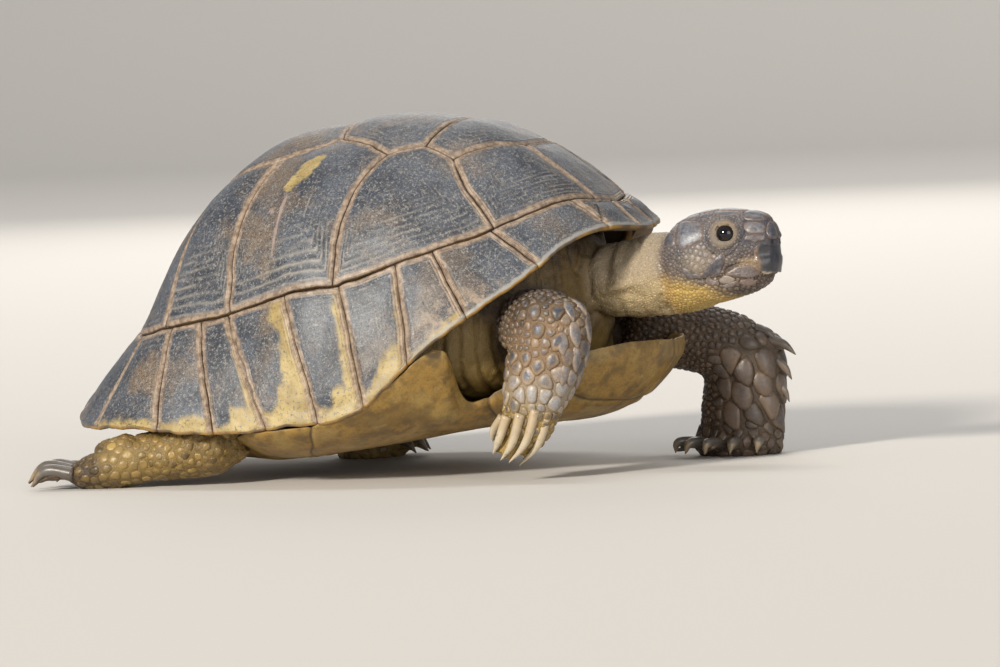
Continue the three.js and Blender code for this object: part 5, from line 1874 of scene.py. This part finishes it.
def widened(loop, by=0.3):
    """The loop moved out from its middle, so that neighbours meet in a narrow seam."""
    away = loop - loop.mean(0)
    return loop + away / np.linalg.norm(away, axis=1, keepdims=True) * by


def shield_loops():
    """Every shield's outline on both sides, its marks and its height."""
    for tall, marks, outline in SHIELDS.values():
        for side in (-1, 1):
            yield [(x, side * y, z) for x, y, z in outline], dict(zip(SHIELD_MARKS, marks)), tall
    tall, marks, outline = CROWN_MIDDLE
    yield [*outline, *[(x, -y, z) for x, y, z in outline[-2:0:-1]]], dict(zip(SHIELD_MARKS, marks)), tall


loops, shield_marks, shield_heights = [], [], []
for outline, marks, tall in shield_loops():
    loop = from_head(widened(rounded(outline, SHIELD_POINTS)))
    loops.append(np.array([tree.find_nearest(point)[0][:] for point in loop]))
    shield_marks.append(marks)
    shield_heights.append(tall)
loops = np.array(loops)
middles = np.array([tree.find_nearest(middle)[0][:] for middle in loops.mean(1)])
facing = unit(np.array([tree.find_nearest(middle)[1][:] for middle in middles]))
area = np.cross(loops - middles[:, None], np.roll(loops, -1, axis=1) - middles[:, None]).sum(1)
facing = unit(unit(area) * np.sign((area * facing).sum(1, keepdims=True)))
turned = (area * facing).sum(1) < 0
loops[turned] = loops[turned, ::-1]
rng = np.random.default_rng(31)
marks = {key: np.array([shield.get(key, 0.0) for shield in shield_marks]) for key in SHIELD_MARKS}
# The shields' blue is partly their own grey and partly a painted reflection of the sky.
marks["blue"] = 0.55 - 0.6 * marks["red"]
marks["dark"] = 0.95 * marks["dark"]
marks["tone"] = rng.uniform(0.3, 0.7, len(loops))
shields = raised("scales_shields", middles, loops, facing, (0.25, 0.5, 0.72, 0.88, 0.96, 1.0),
                 np.array(shield_heights), np.zeros(len(loops)), 0.25, marks, crown=4.5)
# The shields' orange rims are partly the skin's own tint between them and partly a painted highlight.
shields.data.materials.append(scale_finish("head shields", 0.36, gap=(0.2, 0.115, 0.07)))
print(len(loops), "shields on the head")

# %% [markdown]
# The rest of the head is covered with grains. They keep off the shields, the eyes and the beak, and are
# finest round the eyes. The ear drum's skin is a field of larger, paler ones.
# %% Grains of the head and neck
EAR = np.array([  # forward and up of the head's origin
    (-8.1, 1.3), (-6.8, 3.2), (-4.8, 4.5), (-2.1, 4.7), (0.2, 4.0), (1.6, 2.3), (1.6, 1.0),
    (0.1, -0.6), (-1.6, -2.6), (-3.8, -4.1), (-5.5, -4.3), (-7.3, -2.7), (-8.5, -1.0),
])


def inside_loop(flat, loop):
    """Which flat points lie inside a closed outline."""
    crossings = np.zeros(len(flat), int)
    for (ax, ay), (bx, by) in zip(loop, np.roll(loop, -1, axis=0)):
        spans = (flat[:, 1] > ay) != (flat[:, 1] > by)
        crossings += spans & (flat[:, 0] < ax + (flat[:, 1] - ay) / (by - ay + 1e-12) * (bx - ax))
    return crossings % 2 == 1


def under_shield(points):
    covered = np.zeros(len(points), bool)
    for loop, middle, normal in zip(loops, middles, facing):
        near = np.linalg.norm(points - middle, axis=1) < 12 * MM
        across = unit(np.cross(normal, loop[0] - middle))
        ahead = np.cross(across, normal)
        flat = np.stack([(points[near] - middle) @ ahead, (points[near] - middle) @ across], axis=1)
        outline = np.stack([(loop - middle) @ ahead, (loop - middle) @ across], axis=1) * 1.04
        covered[near] |= inside_loop(flat, outline) & (np.abs((points[near] - middle) @ normal) < 4 * MM)
    return covered


def in_ear(points):
    hx, hy, hz = in_head(points).T
    return inside_loop(np.stack([hx, hz], axis=1), EAR) & (np.abs(hy) > 8)


def head_coat(points, owner):
    hx, hy, hz = in_head(points).T
    headed = (owner == "head") | (owner == "jaw") | np.char.startswith(owner, "eye") | (owner == "beak")
    side_eye = (np.hypot(hx - EYE[0], hz - EYE[2]) < 4.7) & (np.abs(hy) > 6)
    horn = (hx > 14) & (hz < 4.6) & (hz > -5.4)
    snout = (hx > 9.6) & (hz > 4.6)
    return headed & ~side_eye & ~horn & ~snout & ~under_shield(points)


def head_size(points, _):
    hx, hy, hz = in_head(points).T
    near_eye = (np.hypot(hx - EYE[0], hz - EYE[2]) < 7) & (np.abs(hy) > 5)
    size = np.full(len(points), 0.56) - 0.12 * near_eye
    size = size + 0.25 * (hz < -7.5) * (hx > 0) + 0.1 * (hz > 13)
    return np.where(in_ear(points), 0.85, size)


def neck_coat(points, owner):
    return (owner == "neck") & (points[:, 0] > 59 * MM)


def neck_size(points, _):
    return np.full(len(points), 0.46)


head_scales = dressed("scales_head", (82, -22, 47), (126, 16, 86), head_size, 21, (-1, 0, 0),
                      count=9, gap=0.05, tall=0.22, dark=0.1, bloom=0.15, chosen=head_coat)
neck_scales = dressed("scales_neck", (56, -18, 46), (90, 18, 80), neck_size, 22, (-1, 0, 0),
                      count=8, gap=0.06, tall=0.13, rings=(0.6, 1.0), chosen=neck_coat)
for piece in (head_scales, neck_scales):
    piece.data.materials.append(scale_finish(piece.name.replace("_", " ")))

# %% [markdown]
# The beak is horn wrapped round the front of the upper jaw. It lies flush at its top and rear, thickens
# downwards, and ends in a sharp edge that overhangs the lower jaw. Its outline is drawn as angles round
# the snout and heights. Rings inside that outline are laid on the skin by rays, and two more rings sink
# its edge into the skin.
# %% The beak
BEAK_HALF = [  # its outline on one side: degrees round the snout, and millimetres up in the head's frame
    (0, 3.5), (14, 3.6), (27, 4.2), (42, 4.6), (50, 3.9), (54, 1.6), (52, -0.8),
    (47, -2.8), (42, -4.6), (33, -5.7), (20, -5.3), (8, -5.0), (0, -5.2),
]
SNOUT = 8.0  # millimetres forward of the head's origin: the middle of the angles
BEAK_POINTS = 64
BEAK_RINGS = [  # share of the way out from the middle, and millimetres behind the surface
    (0.12, 0), (0.25, 0), (0.38, 0), (0.5, 0), (0.62, 0), (0.74, 0), (0.84, 0), (0.92, 0), (0.97, 0),
    (1.0, 0.12), (0.985, 0.75), (0.9, 1.6),
]
BEAK_MIDDLE = np.array([0, -0.8])
DEGREE_WIDTH = 9  # millimetres for each radian round the snout, where its outline is rounded


def snout_place(angle, height, inward):
    """A head place on the upper jaw's surface, moved in by `inward`, at an angle and a height."""
    level = max(height, -3.4)
    way = np.array([math.cos(angle), math.sin(angle), 0])
    start, end = from_head([np.array([SNOUT, 0, level]) + way * far for far in (25, 0)])
    found = tree.ray_cast(Vector(start), Vector(unit(end - start)))[0]
    reach = (in_head(np.array([found[:]]))[0] - (SNOUT, 0, level)) @ way
    thick = 0.14 + 0.4 * (1 - steps(height, -3.5, 4)) * (1 - steps(abs(angle), 0.75, 0.95))
    return np.array([SNOUT, 0, height]) + way * (reach + thick - inward - 0.12 * (level - height))


def beak_faces(rings, around):
    """Bands of quads from the middle out, and the fan that closes the middle."""
    faces = []
    for first in range(0, (rings - 1) * around, around):
        for k in range(around):
            after = first + (k + 1) % around
            faces.append((first + k, after, after + around, first + k + around))
    return faces + [(k, rings * around, (k + 1) % around) for k in range(around)]


outline = [*BEAK_HALF, *[(-angle, height) for angle, height in BEAK_HALF[-2:0:-1]]]
outline = [(math.radians(angle) * DEGREE_WIDTH, height, 0) for angle, height in outline]
outline = rounded(outline, BEAK_POINTS)[:, :2] / (DEGREE_WIDTH, 1)
places = [snout_place(*(BEAK_MIDDLE + (point - BEAK_MIDDLE) * share), inward)
          for share, inward in BEAK_RINGS for point in outline]
places.append(snout_place(*BEAK_MIDDLE, 0))
beak = new_mesh("beak_horn", from_head(places), beak_faces(len(BEAK_RINGS), BEAK_POINTS))
if beak.data.polygons[-1].normal @ Vector(HEAD_FORWARD) < 0:
    beak.data.flip_normals()
applied(beak, "SMOOTH", factor=0.5, iterations=2)
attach(beak, "root")
points = points_of(beak)
hx, hy, hz = in_head(points).T
side = np.abs(np.arctan2(hy, hx - SNOUT))
edge = 1 - steps(hz + 0.9 * cloud(points, 1.5 * MM, 95), -5.4, -4.3)
edge = edge * (0.35 + 0.65 * steps(side, 0.3, 0.6))
rear = steps(side + 0.12 * cloud(points, 1.2 * MM, 96), 0.68, 0.92)
keep_marks(beak, {
    "dark": 0.97 - 0.8 * edge - 0.6 * rear,
    "pale": 0.7 * edge,
    "yellow": 0.35 * edge + 0.3 * rear,
    "red": 0.5 * rear * (1 - edge),
})
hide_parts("beak")
print("beak has", len(points), "points")

# %% [markdown]
# Horn grows downwards on the beak, so its streaks run up and down; their grey-blue is partly a painted
# reflection of the sky. Claws are streaked along their length.
# %% Horn finish
def keratin_finish(name, stretch):
    f = Finish(name)
    lines = f.noise(1.0 * MM, 4, 0.65, f.stretched(stretch))
    colour = f.mix(f.attribute("yellow"), (0.3, 0.22, 0.13), (0.42, 0.27, 0.09))
    colour = f.mix(f.attribute("red"), colour, (0.36, 0.17, 0.12))
    colour = f.mix(f.attribute("dark"), colour, (0.02, 0.022, 0.031))
    colour = f.mix(f.attribute("pale"), colour, (0.56, 0.49, 0.36))
    # Grey-blue streaks: partly the horn's own streaks, partly a painted reflection.
    streaks = f.times(f.steps(lines, 0.5, 0.72), 0.22)
    colour = f.mix(streaks, colour, (0.13, 0.135, 0.165))
    colour = f.mix(f.times(f.steps(lines, 0.46, 0.3), 0.5), colour, (0.03, 0.028, 0.03))
    bump = f.bump(lines, 0.12 * MM, 0.6)
    rough = f.plus(f.times(lines, 0.25), 0.22)
    return f.finish(Base_Color=colour, Roughness=rough, Normal=bump, Coat_Weight=0.08)


beak.data.materials.append(keratin_finish("beak horn", (1, 1, 0.18)))
print("beak finished")

# %% [markdown]
# Each eye is a ball as large as the socket, almost black, with a thin dark brown ring round the pupil and
# a wet gloss. Its pole faces out, so that the ring can be painted by distance from it.
# %% Eyes
PUPIL, IRIS = 1.25 * MM, 2.3 * MM


def eye_ball(name, side):
    bpy.ops.object.select_all(action="DESELECT")
    bpy.ops.mesh.primitive_uv_sphere_add(segments=48, ring_count=24, radius=(EYE_RADIUS - 0.12) * MM)
    piece = bpy.context.object
    piece.name = name
    mirror = np.array([1, side, 1])
    centre = from_head([EYE * mirror])[0]
    axis = from_head([EYE * mirror + EYE_AXIS * mirror])[0] - centre
    turn = Vector(axis).to_track_quat("Z", "Y").to_matrix().to_4x4()
    piece.matrix_world = Matrix.Translation(centre) @ turn
    bpy.ops.object.transform_apply(location=True, rotation=True, scale=True)
    bpy.ops.object.shade_smooth()
    points = points_of(piece)
    out = (points - centre) @ unit(axis)
    reach = np.linalg.norm(points - centre - out[:, None] * unit(axis), axis=1)
    reach = reach + 9 * MM * (out < 0)
    ring = steps(reach, PUPIL, PUPIL + 0.25 * MM) * (1 - steps(reach, IRIS - 0.3 * MM, IRIS))
    keep_marks(piece, {"iris": ring})
    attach(piece, "root")
    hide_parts(name.replace("ball", "eye"))
    return piece


def eye_finish():
    f = Finish("wet eye")
    threads = f.steps(f.noise(0.35 * MM, 3, 0.6), 0.3, 0.8)
    brown = f.mix(threads, (0.008, 0.005, 0.004), (0.024, 0.014, 0.008))
    colour = f.mix(f.attribute("iris"), (0.003, 0.003, 0.007), brown)
    return f.finish(Base_Color=colour, Roughness=0.08, Specular_IOR_Level=0.25, Coat_Weight=0.45,
                    Coat_Roughness=0.03)


eyes = [eye_ball("ball_right", -1), eye_ball("ball_left", 1)]
eye_material = eye_finish()
for piece in eyes:
    piece.data.materials.append(eye_material)
print("eyes set")

# %% [markdown]
# A claw is a curved, tapering horn. Its place is given by its root, its tip, and how far its middle
# arches out of the straight line between them.
# %% Places of the claws
CLAWS = {  # radius, then for each claw its root, its tip and the arch of its middle, in millimetres
    "front_right": (1.75, [
        ((63.5, -54.5, 24), (52, -52, 5.2), (2.6, -1.5, -1.5)),
        ((60, -57.5, 22), (50, -56, 6.5), (1.8, -1, -1)),
        ((55.5, -59.3, 21), (48, -58, 7.5), (1, -0.6, -1)),
        ((50.5, -58.5, 20.5), (45, -57, 9.5), (0, -0.5, -1)),
        ((47.5, -54.5, 20.5), (43, -52, 13), (-1, -0.4, 0)),
    ]),
    "front_left": (2.2, [
        ((80, 41, 4.5), (73.5, 35, 1.6), (-2, -2, 2)),
        ((84, 36.5, 4.5), (79, 29.5, 1.6), (-1, -2, 2)),
        ((90, 34.5, 4.5), (87, 26.5, 1.6), (-1, -2, 2)),
        ((96, 35.5, 4.5), (95.5, 27.5, 1.6), (0, -2, 2)),
        ((102, 38.5, 4.5), (103.5, 31.5, 1.6), (1, -2, 2)),
    ]),
    "hind_right": (2.5, [
        ((-102, -51, 5.5), (-115, -50, 1.6), (-1, 0, 3)),
        ((-104, -56, 6), (-119, -56, 2.4), (-1, 0, 3.4)),
        ((-104, -61.5, 6), (-119, -63, 2.4), (-1, 0, 3.4)),
        ((-102, -66.5, 5.5), (-115, -69, 1.6), (-1, 0, 3)),
    ]),
    "hind_left": (2.4, [
        ((-35, 51, 4.5), (-26.5, 49, 1.6), (0, 0, 2.6)),
        ((-34, 56, 4.8), (-25, 56.5, 1.6), (0, 0, 2.8)),
        ((-35.5, 61, 4.8), (-27.5, 64.5, 1.6), (0, 0, 2.8)),
        ((-39, 65, 4.5), (-33, 71, 1.6), (0, 0, 2.6)),
    ]),
}
CLAW_SHIFT = np.array([3.92, 0.39, 0])  # from the places above to the frame
CLAW_TAPER = (1.0, 0.8, 0.09)
print(sum(len(rows) for _, rows in CLAWS.values()), "claws to make")

# %% [markdown]
# A curve with a thickness at each of its points makes a tapering tube at once, so each claw is drawn as
# a Bezier curve with three points and then turned into a mesh.
# %% Draw a claw
def one_claw(radius, root, tip, arch):
    """A claw, and how far along it each of its points is."""
    root, tip = np.array(root) - CLAW_SHIFT, np.array(tip) - CLAW_SHIFT
    middle = (root + tip) / 2 + np.array(arch)
    root = root - 0.18 * (middle - root)
    bpy.ops.object.select_all(action="DESELECT")
    bpy.ops.curve.primitive_nurbs_path_add()
    piece = bpy.context.object
    curve = piece.data
    curve.splines.clear()
    line = curve.splines.new("BEZIER")
    line.bezier_points.add(2)
    ways = ((middle - root) * 0.35, (tip - root) * 0.2, (tip - middle) * 0.3)
    for point, place, share, way in zip(line.bezier_points, (root, middle, tip), CLAW_TAPER, ways):
        point.co = place * MM
        point.handle_left = (place - way) * MM
        point.handle_right = (place + way) * MM
        point.radius = share
    curve.dimensions = "3D"
    curve.bevel_depth = (radius - 0.05) * MM
    curve.bevel_resolution = 4
    curve.resolution_u = 10
    curve.use_fill_caps = True
    bpy.ops.object.convert(target="MESH")
    piece = bpy.context.object
    close_piece(piece, 0.02 * MM)
    bpy.ops.object.transform_apply(location=True, rotation=True, scale=True)
    points = points_of(piece)
    points[:, 2] = np.maximum(points[:, 2], SOLE)
    move_points(piece, points)
    points = points / MM
    along = np.clip((points - root) @ (tip - root) / ((tip - root) @ (tip - root)), 0, 1)
    return piece, along


def joined_horn(parts, name):
    """The parts of one_claw joined, and how far along it each point is."""
    return joined([part for part, _ in parts], name), np.concatenate([along for _, along in parts])


print("claw helpers ready")

# %% [markdown]
# The lifted foreleg has long pointed scales down its front, and the standing one has horn spurs on its
# outer edge. The long scales use the same builder as the rest of the coat, and the spurs are short claws.
# %% Long scales and spurs
# Their blue is partly their own grey and partly a painted reflection of the sky.
LONG_MARKS = {"yellow": 0.3, "dark": 0.35, "pale": 0.15, "red": 0.4, "blue": 0.2, "bloom": 0.15}
SPURS = [  # root and direction, length and radius in millimetres
    ((101, 40, 45.5), (0.8, 0.1, -0.6), 7.5, 1.6),
    ((104, 42, 38), (0.85, 0.1, -0.55), 8.5, 1.9),
    ((104.5, 43, 30), (0.6, 0.1, -0.8), 6.5, 1.7),
    ((104.5, 44, 22), (0.5, 0.1, -0.85), 5.5, 1.5),
]


def long_scales(name, rows, spokes=20):
    """Pointed scales that lie along the leg, each free and lifted at its tip."""
    outlines, middles, normals = [], [], []
    turn = np.linspace(0, 2 * np.pi, spokes, endpoint=False)
    for root, tip, half in rows:
        middle, normal, ahead, across, reach = long_frame(root, tip)
        long = np.cos(turn) * reach
        wide = np.sin(turn) * half * MM * (1 - 0.55 * np.maximum(np.cos(turn), 0) ** 1.5)
        outlines.append(middle + long[:, None] * ahead + wide[:, None] * across)
        middles.append(middle)
        normals.append(normal)
    count = len(rows)
    marks = {key: np.full(count, value) for key, value in LONG_MARKS.items()}
    marks["core"] = np.linspace(0.95, 0.5, count)
    marks["tone"] = np.random.default_rng(41).uniform(0.3, 0.8, count)
    return raised(name, np.array(middles), np.array(outlines), np.array(normals),
                  (0.3, 0.6, 0.82, 0.94, 1.0), np.full(count, 1.0), np.full(count, 0.16), 0.3, marks)


long_row = long_scales("scales_foreleg_edge", LONG_SCALES)
long_row.data.materials.append(scale_finish("scales foreleg edge"))


def one_spur(root, way, length, radius):
    root = np.array(tree.find_nearest(np.array(root) * MM)[0][:]) / MM + CLAW_SHIFT
    way = unit(np.array(way, float))
    return one_claw(radius, root - 1.2 * way, root + length * way, (0.3, 0, 0.8))


spurs, along = joined_horn([one_spur(*row) for row in SPURS], "spurs_foreleg_left")
worn = cloud(points_of(spurs), 2.5 * MM, 98)
keep_marks(spurs, {
    "dark": 0.85 - 0.25 * steps(worn, -0.3, 0.5),
    "pale": np.full(len(along), 0.1),
    "yellow": 0.2 * (1 - along),
    "red": np.full(len(along), 0.2),
})
spurs.data.materials.append(keratin_finish("spur horn", (0.5, 0.5, 0.3)))
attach(spurs, "root")
print(len(LONG_SCALES), "long scales and", len(SPURS), "spurs")

# %% [markdown]
# The claws of each foot become one piece. They are dark at the root and worn pale towards the tip, and
# those of the lifted foot are pale all over.
# %% Set the claws
PALE_SHARE = {"front_right": 0.85, "front_left": 0.12, "hind_right": 0.12, "hind_left": 0.12}
for foot, (radius, rows) in CLAWS.items():
    piece, along = joined_horn([one_claw(radius, *row) for row in rows], "claws_" + foot)
    light = PALE_SHARE[foot]
    worn = along + 0.2 * cloud(points_of(piece), 2 * MM, 97)
    keep_marks(piece, {
        "dark": (1 - light) * (1 - 0.6 * steps(worn, 0.7, 1)),
        "pale": light * (0.45 + 0.4 * steps(worn, 0.1, 0.8)),
        "yellow": 0.75 - 0.5 * along,
        "red": 0.15 * (1 - along),
    })
    claw_horn = keratin_finish("claw horn " + foot.replace("_", " "), (0.35, 0.35, 0.35))
    piece.data.materials.append(claw_horn)
    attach(piece, "root")
    print(piece.name, "has", triangles(piece), "triangles")

# %% [markdown]
# Last, the script prints that it has ended.
# %% End
print("all pieces made")
